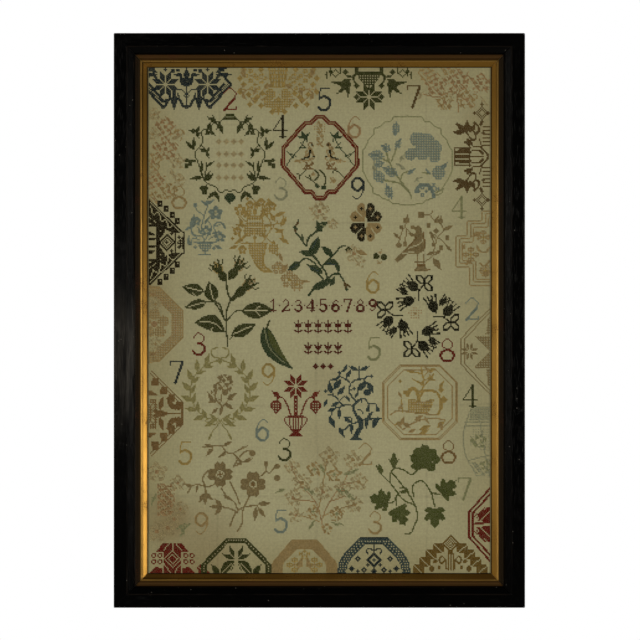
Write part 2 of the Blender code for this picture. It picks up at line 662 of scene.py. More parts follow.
class Fill(Enum):
    """How closely a shape is stitched: what is left out lets the cloth show through."""

    SOLID = "every crossing"
    NET = "bare holes in a net"
    WORN = "what is left of worn thread"
    SPARSE = "one crossing in four"

    def keeps(self, cells: np.ndarray) -> np.ndarray:
        """Choose the crossings that are stitched.

        Args:
            cells: Whole crossings, one row each.

        Returns:
            True for each crossing that is kept.
        """
        odd_column, odd_row = cells[:, 0] % 2 == 1, cells[:, 1] % 2 == 1
        waves = sum(np.sin(cells @ wave) for wave in WEAR_WAVES)
        return {
            Fill.SOLID: odd_row | ~odd_row,
            Fill.NET: ~(odd_column & odd_row),
            Fill.WORN: waves > WEAR_LEVEL,
            Fill.SPARSE: ~odd_column & ~odd_row,
        }[self]


@dataclass
class Chart:
    """A cloth's worth of stitches, one shade number for each crossing, counted from the middle."""

    half_columns: int
    half_rows: int
    cells: np.ndarray = field(init=False)

    def __post_init__(self) -> None:
        """Start with bare cloth."""
        self.cells = np.full((2 * self.half_rows + 1, 2 * self.half_columns + 1), EMPTY, dtype=int)

    def mark(self, cells: np.ndarray, shade: Shade | None, fill: Fill = Fill.SOLID) -> None:
        """Stitch some crossings, or unpick them where no shade is given.

        Args:
            cells: Whole crossings counted from the middle, one row each.
            shade: The thread, or None to leave the cloth bare.
            fill: How closely they are stitched.
        """
        inside = (np.abs(cells[:, 0]) <= self.half_columns) & (np.abs(cells[:, 1]) <= self.half_rows)
        kept = cells[inside & fill.keeps(cells)]
        value = EMPTY if shade is None else NUMBER[shade]
        self.cells[kept[:, 1] + self.half_rows, kept[:, 0] + self.half_columns] = value


def smooth_path(points: Points, closed: bool = False, steps: int = 8) -> np.ndarray:
    """Draw a Catmull-Rom curve through some points.

    Args:
        points: The places that the curve passes through.
        closed: Whether it comes back to its start.
        steps: Places worked out between two points.

    Returns:
        The places along the curve, one row each.
    """
    knots = np.asarray(points, dtype=float)
    if len(knots) < 3:
        return knots
    if closed:
        knots = np.vstack([knots[-1], knots, knots[0], knots[1]])
    else:
        knots = np.vstack([2 * knots[0] - knots[1], knots, 2 * knots[-1] - knots[-2]])
    shares = np.linspace(0.0, 1.0, steps, endpoint=False)[:, None]
    pieces = []
    for a, b, c, d in zip(knots[:-3], knots[1:-2], knots[2:-1], knots[3:]):
        bend = (2 * a - 5 * b + 4 * c - d) * shares**2 + (3 * b - a - 3 * c + d) * shares**3
        pieces.append(0.5 * (2 * b + (c - a) * shares + bend))
    if not closed:
        pieces.append(knots[-2:-1])
    return np.vstack(pieces)


def stepped_line(path: np.ndarray) -> np.ndarray:
    """Follow a path from crossing to crossing, with clean diagonals.

    Args:
        path: Places along the line, in crossings.

    Returns:
        Whole crossings, one row each.
    """
    reach = np.abs(np.diff(path, axis=0)).max(axis=1)
    dense = [path[:1]]
    for start, end, length in zip(path[:-1], path[1:], reach):
        shares = np.linspace(0.0, 1.0, max(2, int(length * 3) + 1))[1:, None]
        dense.append(start + (end - start) * shares)
    cells = np.floor(np.vstack(dense) + 0.5).astype(int)
    kept = [cells[0]]
    for cell in cells[1:]:
        if (cell == kept[-1]).all():
            continue
        if len(kept) > 1 and np.abs(cell - kept[-2]).max() == 1:
            kept[-1] = cell
        else:
            kept.append(cell)
    return np.array(kept)


@dataclass(frozen=True)
class Needle:
    """Stitches shapes on a chart from a place of its own, turned and mirrored as asked."""

    chart: Chart
    column: float = 0.0
    row: float = 0.0
    turn: float = 0.0
    flip: bool = False

    def placed(self, points: np.ndarray | Points) -> np.ndarray:
        """Carry places of the motif over to the cloth.

        Args:
            points: Places counted from the motif's own origin.

        Returns:
            The same places counted from the middle of the cloth.
        """
        array = np.asarray(points, dtype=float).reshape(-1, 2)
        if self.flip:
            array = array * (-1.0, 1.0)
        cos, sin = math.cos(math.radians(self.turn)), math.sin(math.radians(self.turn))
        turned = array @ np.array([[cos, sin], [-sin, cos]])
        return turned + (self.column, self.row)

    def moved(self, across: float, up: float, turn: float = 0.0, flip: bool = False) -> "Needle":
        """Take a new place, given in this needle's own counts.

        Args:
            across: Crossings to the right.
            up: Crossings up.
            turn: Degrees to turn, counterclockwise.
            flip: Whether to mirror left and right.

        Returns:
            The needle at its new place.
        """
        (column, row), = self.placed(((across, up),))
        own_turn = self.turn + (-turn if self.flip else turn)
        return replace(self, column=column, row=row, turn=own_turn, flip=self.flip != flip)

    def line(self, shade: Shade | None, path: np.ndarray, width: float = 1.0, dash: int = 0) -> None:
        """Stitch along a path.

        Args:
            shade: The thread, or None to unpick.
            path: Places in the motif's counts.
            width: Crossings across.
            dash: Length of the runs between single gaps, or 0 for none.
        """
        places = self.placed(path)
        if width <= 1.0:
            cells = stepped_line(places)
            if dash:
                cells = cells[np.arange(len(cells)) % (dash + 1) != dash]
            self.chart.mark(cells, shade)
            return
        grid = self.grid_round(places, width)
        nearest = np.full(len(grid), np.inf)
        for start, end in zip(places[:-1], places[1:]):
            way = end - start
            share = np.clip(((grid - start) @ way) / max(way @ way, 1e-9), 0.0, 1.0)
            apart = grid - (start + share[:, None] * way)
            nearest = np.minimum(nearest, np.hypot(apart[:, 0], apart[:, 1]))
        self.chart.mark(grid[nearest <= width / 2.0], shade)

    def area(self, shade: Shade | None, outline: np.ndarray | Points, fill: Fill = Fill.SOLID) -> None:
        """Fill a closed outline.

        Args:
            shade: The thread, or None to unpick.
            outline: Corners in the motif's counts.
            fill: How closely it is stitched.
        """
        corners = self.placed(outline)
        grid = self.grid_round(corners)
        spots = grid + (0.013, 0.017)
        inside = np.zeros(len(grid), dtype=bool)
        for start, end in zip(corners, np.roll(corners, -1, axis=0)):
            crosses = (start[1] > spots[:, 1]) != (end[1] > spots[:, 1])
            rise = end[1] - start[1]
            if abs(rise) < 1e-9:
                continue
            meet = start[0] + (spots[:, 1] - start[1]) * (end[0] - start[0]) / rise
            inside ^= crosses & (spots[:, 0] < meet)
        self.chart.mark(grid[inside], shade, fill)

    def grid_round(self, places: np.ndarray, margin: float = 0.0) -> np.ndarray:
        """Every crossing in the box round some places.

        Args:
            places: Places on the cloth.
            margin: How far the box stands out.

        Returns:
            Whole crossings, one row each.
        """
        low = np.floor(places.min(axis=0) - margin).astype(int)
        high = np.ceil(places.max(axis=0) + margin).astype(int)
        return np.mgrid[low[0] : high[0] + 1, low[1] : high[1] + 1].reshape(2, -1).T


class Part:
    """Something that a needle can stitch."""

    def stitch(self, needle: Needle) -> None:
        """Stitch the part with a needle that stands at the motif's origin."""
        raise NotImplementedError


Parts = tuple[Part, ...]


@dataclass(frozen=True)
class Stem(Part):
    """A line of stitches through some places, smooth unless it is straight."""

    shade: Shade | None
    points: Points
    width: float = 1.0
    dash: int = 0
    closed: bool = False
    straight: bool = False

    def stitch(self, needle: Needle) -> None:
        """Run the line.

        Args:
            needle: The needle that stitches it.
        """
        path = np.asarray(self.points, dtype=float)
        if not self.straight:
            path = smooth_path(self.points, self.closed)
        if self.closed:
            path = np.vstack([path, path[:1]])
        needle.line(self.shade, path, self.width, self.dash)


@dataclass(frozen=True)
class Patch(Part):
    """A filled shape, with straight or smooth sides."""

    shade: Shade | None
    points: Points
    smooth: bool = False
    fill: Fill = Fill.SOLID

    def stitch(self, needle: Needle) -> None:
        """Fill the shape."""
        needle.area(self.shade, smooth_path(self.points, True) if self.smooth else self.points, self.fill)


@dataclass(frozen=True)
class Leaf(Part):
    """A leaf or a pointed petal that grows from its foot."""

    shade: Shade | None
    foot: Point
    angle: float
    length: float
    width: float
    vein: bool = False
    curl: float = 0.0
    second: Shade | None = None
    blunt: float = 0.8
    teeth: int = 0
    fill: Fill = Fill.SOLID

    def spine(self, shares: np.ndarray) -> np.ndarray:
        """Places along the middle of the leaf.

        Args:
            shares: How far along each place lies, 0 at the foot and 1 at the tip.

        Returns:
            The places, one row each.
        """
        heading = math.radians(self.angle)
        along = np.array([math.cos(heading), math.sin(heading)])
        beside = np.array([-along[1], along[0]])
        bow = self.curl * np.sin(np.pi * shares)
        return np.asarray(self.foot) + np.outer(shares * self.length, along) + np.outer(bow, beside)

    def stitch(self, needle: Needle) -> None:
        """Fill the leaf, shade its one half and leave its vein bare, as asked.

        Args:
            needle: The needle that stitches it.
        """
        shares = np.linspace(0.0, 1.0, 31)
        spine = self.spine(shares)
        heading = math.radians(self.angle)
        beside = np.array([-math.sin(heading), math.cos(heading)])
        half = 0.5 * self.width * np.sin(np.pi * shares**self.blunt)
        half = half * (1.0 + (0.08 * np.cos(2.0 * np.pi * self.teeth * shares) if self.teeth else 0.0))
        left = spine + half[:, None] * beside
        right = spine - half[:, None] * beside
        needle.area(self.shade, np.vstack([left, right[::-1]]), self.fill)
        if self.second is not None:
            needle.area(self.second, np.vstack([left, spine[::-1]]), self.fill)
        needle.line(self.shade, self.spine(np.linspace(0.0, 0.96, 9)))
        if self.vein:
            needle.line(None, self.spine(np.linspace(0.12, 0.82, 7)))


@dataclass(frozen=True)
class Disc(Part):
    """A round spot or an oval one."""

    shade: Shade | None
    middle: Point
    radius: float
    tall: float = 1.0
    fill: Fill = Fill.SOLID

    def stitch(self, needle: Needle) -> None:
        """Fill the spot.

        Args:
            needle: The needle that stitches it.
        """
        angles = np.linspace(0.0, 2.0 * np.pi, 20, endpoint=False)
        across = self.middle[0] + self.radius * np.cos(angles)
        up = self.middle[1] + self.radius * self.tall * np.sin(angles)
        needle.area(self.shade, np.column_stack([across, up]), self.fill)


@dataclass(frozen=True)
class Rosette(Part):
    """A flower of round lobes with an eye, as on worn roses and pinks."""

    shade: Shade
    middle: Point
    reach: float
    lobes: int = 5
    eye: Shade | None = None
    fill: Fill = Fill.SOLID

    def stitch(self, needle: Needle) -> None:
        """Stitch the lobes, then the eye.

        Args:
            needle: The needle that stitches it.
        """
        for index in range(self.lobes):
            heading = math.radians(90.0 + 360.0 * index / self.lobes)
            middle = (
                self.middle[0] + 0.6 * self.reach * math.cos(heading),
                self.middle[1] + 0.6 * self.reach * math.sin(heading),
            )
            Disc(self.shade, middle, 0.36 * self.reach, fill=self.fill).stitch(needle)
        Disc(self.eye, self.middle, 0.18 * self.reach).stitch(needle)


@dataclass(frozen=True)
class Diamond(Part):
    """A square on its point, filled or open."""

    shade: Shade | None
    middle: Point
    reach: int
    open: bool = False
    eye: bool = False

    def stitch(self, needle: Needle) -> None:
        """Fill the diamond or run its four sides.

        Args:
            needle: The needle that stitches it.
        """
        across, up = self.middle
        reach = self.reach
        corners = ((across + reach, up), (across, up + reach), (across - reach, up), (across, up - reach))
        if self.open:
            needle.line(self.shade, np.array(corners + corners[:1]))
            if self.eye:
                Diamond(self.shade, self.middle, max(0, reach - 3)).stitch(needle)
            return
        for step in range(-reach, reach + 1):
            rest = reach - abs(step)
            needle.line(self.shade, np.array([(across - rest, up + step), (across + rest, up + step)]))


@dataclass(frozen=True)
class Star(Part):
    """An eight-pointed star of eight slanted petals, with the cloth showing between them."""

    shade: Shade
    middle: Point
    reach: int
    width: int = 3

    def stitch(self, needle: Needle) -> None:
        """Stitch the eight petals row by row.

        Args:
            needle: The needle that stitches it.
        """
        home = needle.moved(*self.middle)
        for quarter in range(4):
            for flip in (False, True):
                own = home.moved(0, 0, 90.0 * quarter, flip)
                for step in range(1, self.width + 1):
                    own.line(
                        self.shade,
                        np.array([(step, step + 1), (step, self.reach - self.width + step)]),
                    )


@dataclass(frozen=True)
class Both(Part):
    """Parts stitched twice, the second time mirrored left and right."""

    parts: Parts

    def stitch(self, needle: Needle) -> None:
        """Stitch each part and its mirror image.

        Args:
            needle: The needle that stitches it.
        """
        for part in self.parts:
            part.stitch(needle)
            part.stitch(needle.moved(0, 0, flip=True))


@dataclass(frozen=True)
class Around(Part):
    """Parts repeated round the motif's origin."""

    count: int
    parts: Parts
    start: float = 0.0

    def stitch(self, needle: Needle) -> None:
        """Stitch the parts once for each turn.

        Args:
            needle: The needle that stitches it.
        """
        for index in range(self.count):
            turned = needle.moved(0, 0, self.start + 360.0 * index / self.count)
            for part in self.parts:
                part.stitch(turned)


@dataclass(frozen=True)
class Placed(Part):
    """Parts moved, turned or mirrored as one."""

    spot: Point
    parts: Parts
    turn: float = 0.0
    flip: bool = False

    def stitch(self, needle: Needle) -> None:
        """Stitch the parts from their new place.

        Args:
            needle: The needle that stitches it.
        """
        moved = needle.moved(*self.spot, self.turn, self.flip)
        for part in self.parts:
            part.stitch(moved)


# Strokes of the plain numerals in a box of one by one: how heavy each is, and where it runs
NUMERALS: dict[int, tuple[tuple[float, Points], ...]] = {
    1: ((2, ((0.5, 0), (0.5, 1))), (1, ((0.5, 1), (0.2, 0.82))), (1, ((0.2, 0), (0.8, 0)))),
    2: (
        (1, ((0.08, 0.78), (0.25, 0.96), (0.6, 1), (0.9, 0.8), (0.8, 0.52))), (2, ((0.8, 0.52), (0.08, 0))),
        (1, ((0.08, 0), (0.95, 0))), (1, ((0.95, 0), (0.95, 0.14))),
    ),
    3: (
        (1, ((0.1, 0.82), (0.35, 1), (0.75, 0.95), (0.85, 0.75), (0.7, 0.56), (0.4, 0.53))),
        (2, ((0.4, 0.53), (0.8, 0.45), (0.92, 0.25), (0.7, 0.03), (0.35, 0), (0.08, 0.16))),
    ),
    4: (
        (2, ((0.72, 0), (0.72, 1))), (1, ((0.72, 1), (0.04, 0.3))), (1, ((0.04, 0.3), (1, 0.3))),
        (1, ((0.5, 0), (0.94, 0))),
    ),
    5: (
        (1, ((0.2, 1), (0.88, 1))), (1, ((0.2, 1), (0.16, 0.55))),
        (2, ((0.16, 0.55), (0.5, 0.63), (0.88, 0.5), (0.92, 0.25), (0.65, 0.02), (0.3, 0), (0.06, 0.14))),
    ),
    6: (
        (1, ((0.85, 0.88), (0.6, 1), (0.3, 0.88), (0.1, 0.55))),
        (
            2,
            (
                (0.1, 0.55), (0.08, 0.25), (0.35, 0), (0.7, 0.02), (0.93, 0.25), (0.8, 0.5),
                (0.45, 0.57), (0.1, 0.35),
            ),
        ),
    ),
    7: ((1, ((0.06, 1), (0.94, 1))), (1, ((0.06, 1), (0.06, 0.84))), (2, ((0.94, 1), (0.4, 0)))),
    8: (
        (
            1,
            (
                (0.5, 0.53), (0.2, 0.64), (0.14, 0.82), (0.32, 0.99), (0.68, 0.99), (0.86, 0.82),
                (0.8, 0.64), (0.5, 0.53),
            ),
        ),
        (
            2,
            (
                (0.5, 0.53), (0.14, 0.42), (0.04, 0.22), (0.25, 0), (0.75, 0), (0.96, 0.22),
                (0.86, 0.42), (0.5, 0.53),
            ),
        ),
    ),
    9: (
        (1, ((0.15, 0.12), (0.4, 0), (0.7, 0.12), (0.9, 0.45))),
        (
            2,
            (
                (0.9, 0.45), (0.92, 0.75), (0.65, 1), (0.3, 0.98), (0.07, 0.75), (0.2, 0.5),
                (0.55, 0.43), (0.9, 0.65),
            ),
        ),
    ),
}


@dataclass(frozen=True)
class Numeral(Part):
    """A plain numeral with heavy and light strokes."""

    shade: Shade
    digit: int
    middle: Point = (0.0, 0.0)
    height: float = 17.0
    weight: float = 1.0

    def stitch(self, needle: Needle) -> None:
        """Run each stroke.

        Args:
            needle: The needle that stitches it.
        """
        width = 0.66 * self.height
        left, foot = self.middle[0] - width / 2.0, self.middle[1] - self.height / 2.0
        for heavy, points in NUMERALS[self.digit]:
            places = tuple((left + width * across, foot + self.height * up) for across, up in points)
            needle.line(self.shade, smooth_path(places), self.weight * heavy)


def stems(shade: Shade | None, width: float, *paths: Points) -> Parts:
    """Smooth lines of one thread and width."""
    return tuple(Stem(shade, path, width) for path in paths)


def bars(shade: Shade | None, width: float, *paths: Points) -> Parts:
    """Straight lines of one thread and width."""
    return tuple(Stem(shade, path, width, straight=True) for path in paths)


def leaves(shade: Shade | None, share: float, *rows: tuple, **more: object) -> Parts:
    """Leaves with their feet, angles and lengths, each as wide as a share of its length."""
    return tuple(Leaf(shade, row[:2], row[2], row[3], share * row[3], **more) for row in rows)


def spots(shade: Shade | None, *rows: tuple, **more: object) -> Parts:
    """Round spots with their middles and radii."""
    return tuple(Disc(shade, row[:2], row[2], **more) for row in rows)


def diamonds(shade: Shade | None, *rows: tuple, **more: object) -> Parts:
    """Diamonds with their middles and reaches."""
    return tuple(Diamond(shade, row[:2], row[2], **more) for row in rows)


def rosettes(shade: Shade, eye: Shade | None, *rows: tuple, **more: object) -> Parts:
    """Rosettes with their middles and reaches."""
    return tuple(Rosette(shade, row[:2], row[2], eye=eye, **more) for row in rows)


def hollow(shade: Shade, foot: Point, angle: float, length: float, width: float) -> Placed:
    """A leaf that is only an outline.

    Args:
        shade: The thread.
        foot: Where it grows from.
        angle: Which way it points, in degrees.
        length: How long it is.
        width: How wide it is.

    Returns:
        The leaf.
    """
    rim = tuple((length * along, width * out) for along, out in (
        (0.1, 0), (0.3, 0.36), (0.7, 0.4), (1, 0), (0.7, -0.4), (0.3, -0.36)))
    return Placed(foot, (Stem(shade, rim, 1.4, closed=True),), turn=angle)


def bell(shade: Shade, foot: Point, angle: float, size: float) -> Placed:
    """A bell flower: a round cup that opens into four prongs.

    Args:
        shade: The thread.
        foot: Where it grows from.
        angle: Which way it points, in degrees.
        size: How long it is.

    Returns:
        The flower.
    """
    prongs = (((size * 0.4, up * size * 0.06), (size * 0.92, up * size * 0.11)) for up in (-3, -1, 1, 3))
    cup = Leaf(shade, (0, 0), 0, size * 0.74, size * 0.54)
    return Placed(foot, (*bars(shade, 1.2, *prongs), cup), turn=angle)


def tulip(shade: Shade, foot: Point, size: float) -> Placed:
    """A small upright tulip on a stalk with two leaves.

    Args:
        shade: The thread.
        foot: Where it grows from.
        size: How long it is.

    Returns:
        The tulip.
    """
    return Placed(foot, (
        *bars(shade, 1, ((0, 0), (0, size * 0.6))),
        *leaves(shade, 0.4, (0, size * 0.4, 90, size * 0.6), (0, size * 0.4, 55, size * 0.55)),
        *leaves(
            shade, 0.4, (0, size * 0.4, 125, size * 0.55), (0, 0, 40, size * 0.4),
            (0, 0, 140, size * 0.4),
        ),
    ))


def bud(shade: Shade, heart: Shade, foot: Point, angle: float, size: float) -> Placed:
    """A rosebud: a cup with a pale netted heart between sepals that branch at their tips.

    Args:
        shade: The thread.
        heart: The thread of its heart.
        foot: Where it grows from.
        angle: Which way it points, in degrees.
        size: How long it is.

    Returns:
        The bud.
    """
    return Placed(foot, (
        Leaf(heart, (size * 0.3, 0), 0, size * 0.6, size * 0.36, fill=Fill.NET),
        *leaves(shade, 0.2, (size * 0.3, 0, 17, size * 0.6), (size * 0.3, 0, -17, size * 0.6)),
        *bars(shade, 1, ((size * 0.5, 0), (size * 0.86, 0)), ((size * 0.74, -2), (size * 0.76, 3))),
        *(
            Placed((size * 0.62, side * size * 0.12), bars(
                shade, 1, ((0, 0), (size * 0.2, side * size * 0.05)),
                ((0, 0), (size * 0.05, side * size * 0.16), (size * 0.14, side * size * 0.18)),
            ))
            for side in (-1, 1)
        ),
        Leaf(shade, (0, 0), 0, size * 0.56, size * 0.3),
    ), turn=angle)


def lobed(shade: Shade, foot: Point, angle: float, size: float) -> Placed:
    """A vine leaf of five pointed lobes with knobbly sides.

    Args:
        shade: The thread.
        foot: Where it grows from.
        angle: Which way it points, in degrees.
        size: How long it is.

    Returns:
        The leaf.
    """
    rim = ((0.8, 0.12), (0.8, -0.12), (0.58, 0.34), (0.58, -0.34), (0.22, 0.36), (0.22, -0.36))
    return Placed(foot, (
        Disc(shade, (size * 0.42, 0), size * 0.3),
        *spots(shade, *((size * a, size * b, size * 0.1) for a, b in rim)),
        *leaves(shade, 0.62, (size * 0.4, 0, 0, size * 0.62), (size * 0.36, 0, 62, size * 0.54)),
        *leaves(shade, 0.62, (size * 0.36, 0, -62, size * 0.54), (size * 0.34, 0, 122, size * 0.42)),
        *leaves(shade, 0.62, (size * 0.34, 0, -122, size * 0.42)),
    ), turn=angle)


def laurel(shade: Shade, reach: float, start: int, stop: int) -> Parts:
    """A branch that curves round the origin with pairs of leaves.

    Args:
        shade: The thread.
        reach: How far the branch lies from the origin.
        start: Where it starts, in degrees.
        stop: Where it ends.

    Returns:
        The branch.
    """
    pairs = tuple(
        Placed((reach * math.cos(math.radians(turn)), reach * math.sin(math.radians(turn))),
               leaves(shade, 0.44, (0, 0, 36, 8), (2, 0, -38, 9.5)), turn=turn + 90)
        for turn in range(start, stop, 20)
    )
    arc = tuple(
        (reach * math.cos(math.radians(turn)), reach * math.sin(math.radians(turn))) for turn in range(
            start, stop, 20,
        )
    )
    return (Stem(shade, arc), *pairs)


# Motifs at the edges: each is drawn round its own middle line or from the middle of the cloth

# A half medallion of tulip, daisies and hanging buds between triple bars
NAVY_HALF: Parts = (
    Leaf(Shade.NAVY, (0, 194), 90, 9, 4.6),
    Disc(Shade.NAVY, (0, 192), 5.2, 0.7),
    *bars(Shade.NAVY, 1, ((0, 190), (0, 171))),
    Diamond(Shade.NAVY, (0, 181), 2, open=True),
    Both((
        Leaf(Shade.NAVY, (3.5, 190), 80, 9, 3.4),
        Leaf(Shade.NAVY, (4, 197.5), 6, 6, 3.0),
        *stems(Shade.NAVY, 1, ((10, 186), (4, 186), (1.5, 183), (0, 181))),
        Star(Shade.NAVY, (17, 190), 10, 4),
        Leaf(Shade.NAVY, (10, 187), -90, 18, 5.6),
        Patch(
            Shade.NAVY,
            (
                (9, 186), (5.4, 181), (5.4, 176), (8, 178), (12, 178), (14.6, 176), (14.6, 181),
                (11, 186),
            ),
        ),
        *bars(None, 1, ((8, 184), (7.5, 180)), ((12, 184), (12.5, 180))),
        *bars(
            Shade.NAVY, 2.2, ((5.5, 178), (3.2, 173.4), (1, 172)),
            ((14.5, 178), (17, 172.5), (19, 171.8)),
        ),
        *bars(
            Shade.NAVY, 2.2, ((19, 171.5), (35.5, 190), (29, 198)),
            ((15.5, 177.5), (18.4, 176.4), (30, 190)),
        ),
        *bars(Shade.NAVY, 1, ((20, 175.6), (32.6, 190))),
        *leaves(Shade.NAVY, 0.3, (24, 198, 0, 12), (24, 200, 24, 10), (30, 201, 140, 9), (24, 194, 62, 9)),
        *spots(Shade.NAVY, (11, 201, 1.6), (7, 201.5, 1.3), (17, 202, 1.4)),
    )),
)

# A half medallion with a narrow basket, netted fruit and diamonds, in two worn golds
BASKET_HALF: Parts = (
    *bars(Shade.GOLD, 1, *(((0.8 * side, 204), (0.5 * side, 188)) for side in (-9, -6, -3, 0, 3, 6, 9))),
    *bars(Shade.GOLD, 1, *(
        ((-side, row), (side, row)) for side, row in ((8, 204), (7, 201), (7, 198), (6, 195), (5, 192))
    )),
    *bars(Shade.GOLD, 1.6, ((-5, 188), (5, 188)), ((-7, 204), (-5, 188)), ((7, 204), (5, 188))),
    *spots(
        Shade.GOLD, (-6, 182, 4.6), (6, 182, 4.6), (-8, 175, 3.6), (8, 175, 3.6), (0, 173, 6),
        fill=Fill.NET,
    ),
    *bars(None, 1, ((-2, 185), (-2, 178)), ((2, 185), (2, 178))),
    *stems(Shade.GOLD, 1, ((0, 171), (0, 166))),
    *diamonds(Shade.GOLD, (0, 178, 2), (-5, 168, 2), (5, 168, 2)),
    Both((
        *stems(
            Shade.SAND, 1, ((28, 179), (27, 184), (23, 186), (19, 184)),
            ((7, 188), (12, 186), (15, 180)),
        ),
        *diamonds(
            Shade.GOLD, (13, 183, 2), (17, 180, 2), (14, 173, 2), (23, 174, 2), (19, 177, 2),
            (9, 189, 2),
        ),
        *rosettes(Shade.GOLD, Shade.SAND, (22, 197, 6), (13, 195, 5), (18, 187, 5), lobes=4, fill=Fill.NET),
        *diamonds(
            Shade.GOLD, (28, 190, 2), (31, 195, 2), (28, 202, 2), (14, 202, 2), (31, 184, 2),
            (24, 182, 2),
        ),
        *leaves(Shade.SAND, 0.5, (27, 196, 80, 8), (17, 187, -60, 6), (6, 190, -30, 6), (26, 178, 60, 6)),
        *rosettes(
            Shade.SAND, Shade.GOLD, (20, 179, 4), (28, 186, 4), (11, 178, 3), lobes=4, fill=Fill.WORN,
        ),
    )),
)

# A half medallion with a net basket, a large star and a lily on each side
GREEN_HALF: Parts = (
    Patch(Shade.GREEN, ((-10, 200), (10, 200), (8, 195), (4, 190), (-4, 190), (-8, 195)), fill=Fill.NET),
    *bars(Shade.GREEN, 2, ((-10, 203), (-10, 199), (10, 199), (10, 203))),
    *bars(Shade.GREEN, 1, ((0, 190), (0, 186))),
    Star(Shade.GREEN, (0, 180), 10, 4),
    Both((
        *bars(Shade.GREEN, 1.6, ((9, 199), (14, 196), (18, 197)), ((13, 197), (12, 193), (10, 190))),
        *diamonds(Shade.GREEN, (10, 189, 2), (10, 180, 2), (19, 200, 2)),
        Diamond(Shade.GREEN, (27, 199), 3, open=True),
        Disc(Shade.GREEN, (19, 190), 4.2),
        *leaves(Shade.GREEN, 0.24, (17, 192, 2, 14), (18, 191, -46, 12), (18, 192, -92, 13), curl=-1.0),
        Leaf(Shade.GREEN, (15, 194), -20, 10, 4.0),
        *leaves(Shade.GREEN, 0.4, (31, 203, -90, 6), (34, 200, -90, 5), (23, 203, -90, 4)),
    )),
)

# Very worn pink blossoms at the top right
BLUSH_TOP: Parts = (
    *rosettes(Shade.BLUSH, Shade.BLUSH, (94, 190, 10), (112, 192, 11), (130, 191, 9), fill=Fill.WORN),
    *rosettes(
        Shade.SAND, Shade.BLUSH, (101, 176, 8), (119, 178, 9), (86, 199, 7), (104, 203, 7),
        fill=Fill.WORN,
    ),
    *stems(
        Shade.BLUSH, 1, ((84, 182), (96, 180), (108, 184), (124, 172)),
        ((120, 200), (112, 182), (112, 168)),
    ),
    *leaves(Shade.CREAM, 0.4, (84, 184, 230, 9), (130, 180, -50, 9), (108, 184, 250, 10), fill=Fill.WORN),
)

# Worn pink blossoms down the left edge
BLUSH_SIDE: Parts = (
    *rosettes(Shade.BLUSH, Shade.BLUSH, (-124, 156, 9), (-124, 138, 11), (-132, 113, 9), fill=Fill.WORN),
    *rosettes(
        Shade.SAND, Shade.BLUSH, (-134, 128, 8), (-121, 104, 8), (-133, 98, 7), (-114, 150, 6),
        fill=Fill.WORN,
    ),
    *rosettes(
        Shade.CREAM, Shade.SAND, (-114, 128, 7), (-113, 113, 6), (-134, 150, 6), (-133, 166, 6),
        fill=Fill.WORN,
    ),
    *leaves(Shade.CREAM, 0.5, (-120, 122, -60, 8), (-130, 120, 200, 8), (-118, 146, 20, 8), fill=Fill.WORN),
)

# A half motif of level bars, leaves and curls between open diamonds, in umber
SCROLL_HALF: Parts = (
    *bars(Shade.UMBER, 1.2, *(((-28, row), (-15, row)) for row in (-7, -3.5, 0, 3.5, 7))),
    *bars(Shade.UMBER, 2, ((-27, 0), (-17, 0)), ((-24, -4), (-17, -4)), ((-24, 5), (-17, 5))),
    *bars(Shade.UMBER, 1, ((-16.5, -8), (-16.5, 8)), ((-28, -6), (-28, 6)), ((-15, 0), (-5, 0))),
    *(
        Placed((0, 0), (
            *bars(Shade.UMBER, 1.6, ((-13, 8), (-7, 8), (-1, 1), (-1, -1)), ((-14, 5), (-8, 5), (-5, 2))),
            *leaves(
                Shade.UMBER, 0.5, (-18, 20, 90, 9), (-20, 20, 130, 9), (-16, 20, 50, 8),
                (-21, 19, 175, 8),
            ),
            *bars(Shade.UMBER, 1.2, ((-19, 20), (-14, 13))),
            *diamonds(Shade.UMBER, (-26, 26, 1), (-12, 27, 1)),
            *leaves(Shade.UMBER, 0.5, (-14, 9, 128, 7), (-14, 10, 165, 7)),
            *bars(
                Shade.UMBER, 1.6, ((-15, 13), (-11, 14), (-11, 18), (-14, 22)),
                ((-11, 18), (-8, 22), (-10, 26)),
            ),
            *diamonds(Shade.UMBER, (-9, 20, 1), (-7, 26, 1), (-5, 19, 1)),
            *bars(
                Shade.UMBER, 1.2, *(((-5, row), (2, row)) for row in (9, 12, 15, 18, 21, 24)),
                ((-6, 8), (-8, 14)),
            ),
            *diamonds(Shade.UMBER, (-6, 35, 5), (-6, 35, 3), open=True),
            *diamonds(Shade.UMBER, (-6, 42, 1), (-12, 35, 1), (-6, 28, 1), (-1, 35, 1)),
        ), turn=turn, flip=flip)
        for turn, flip in ((0, False), (180, True))
    ),
)

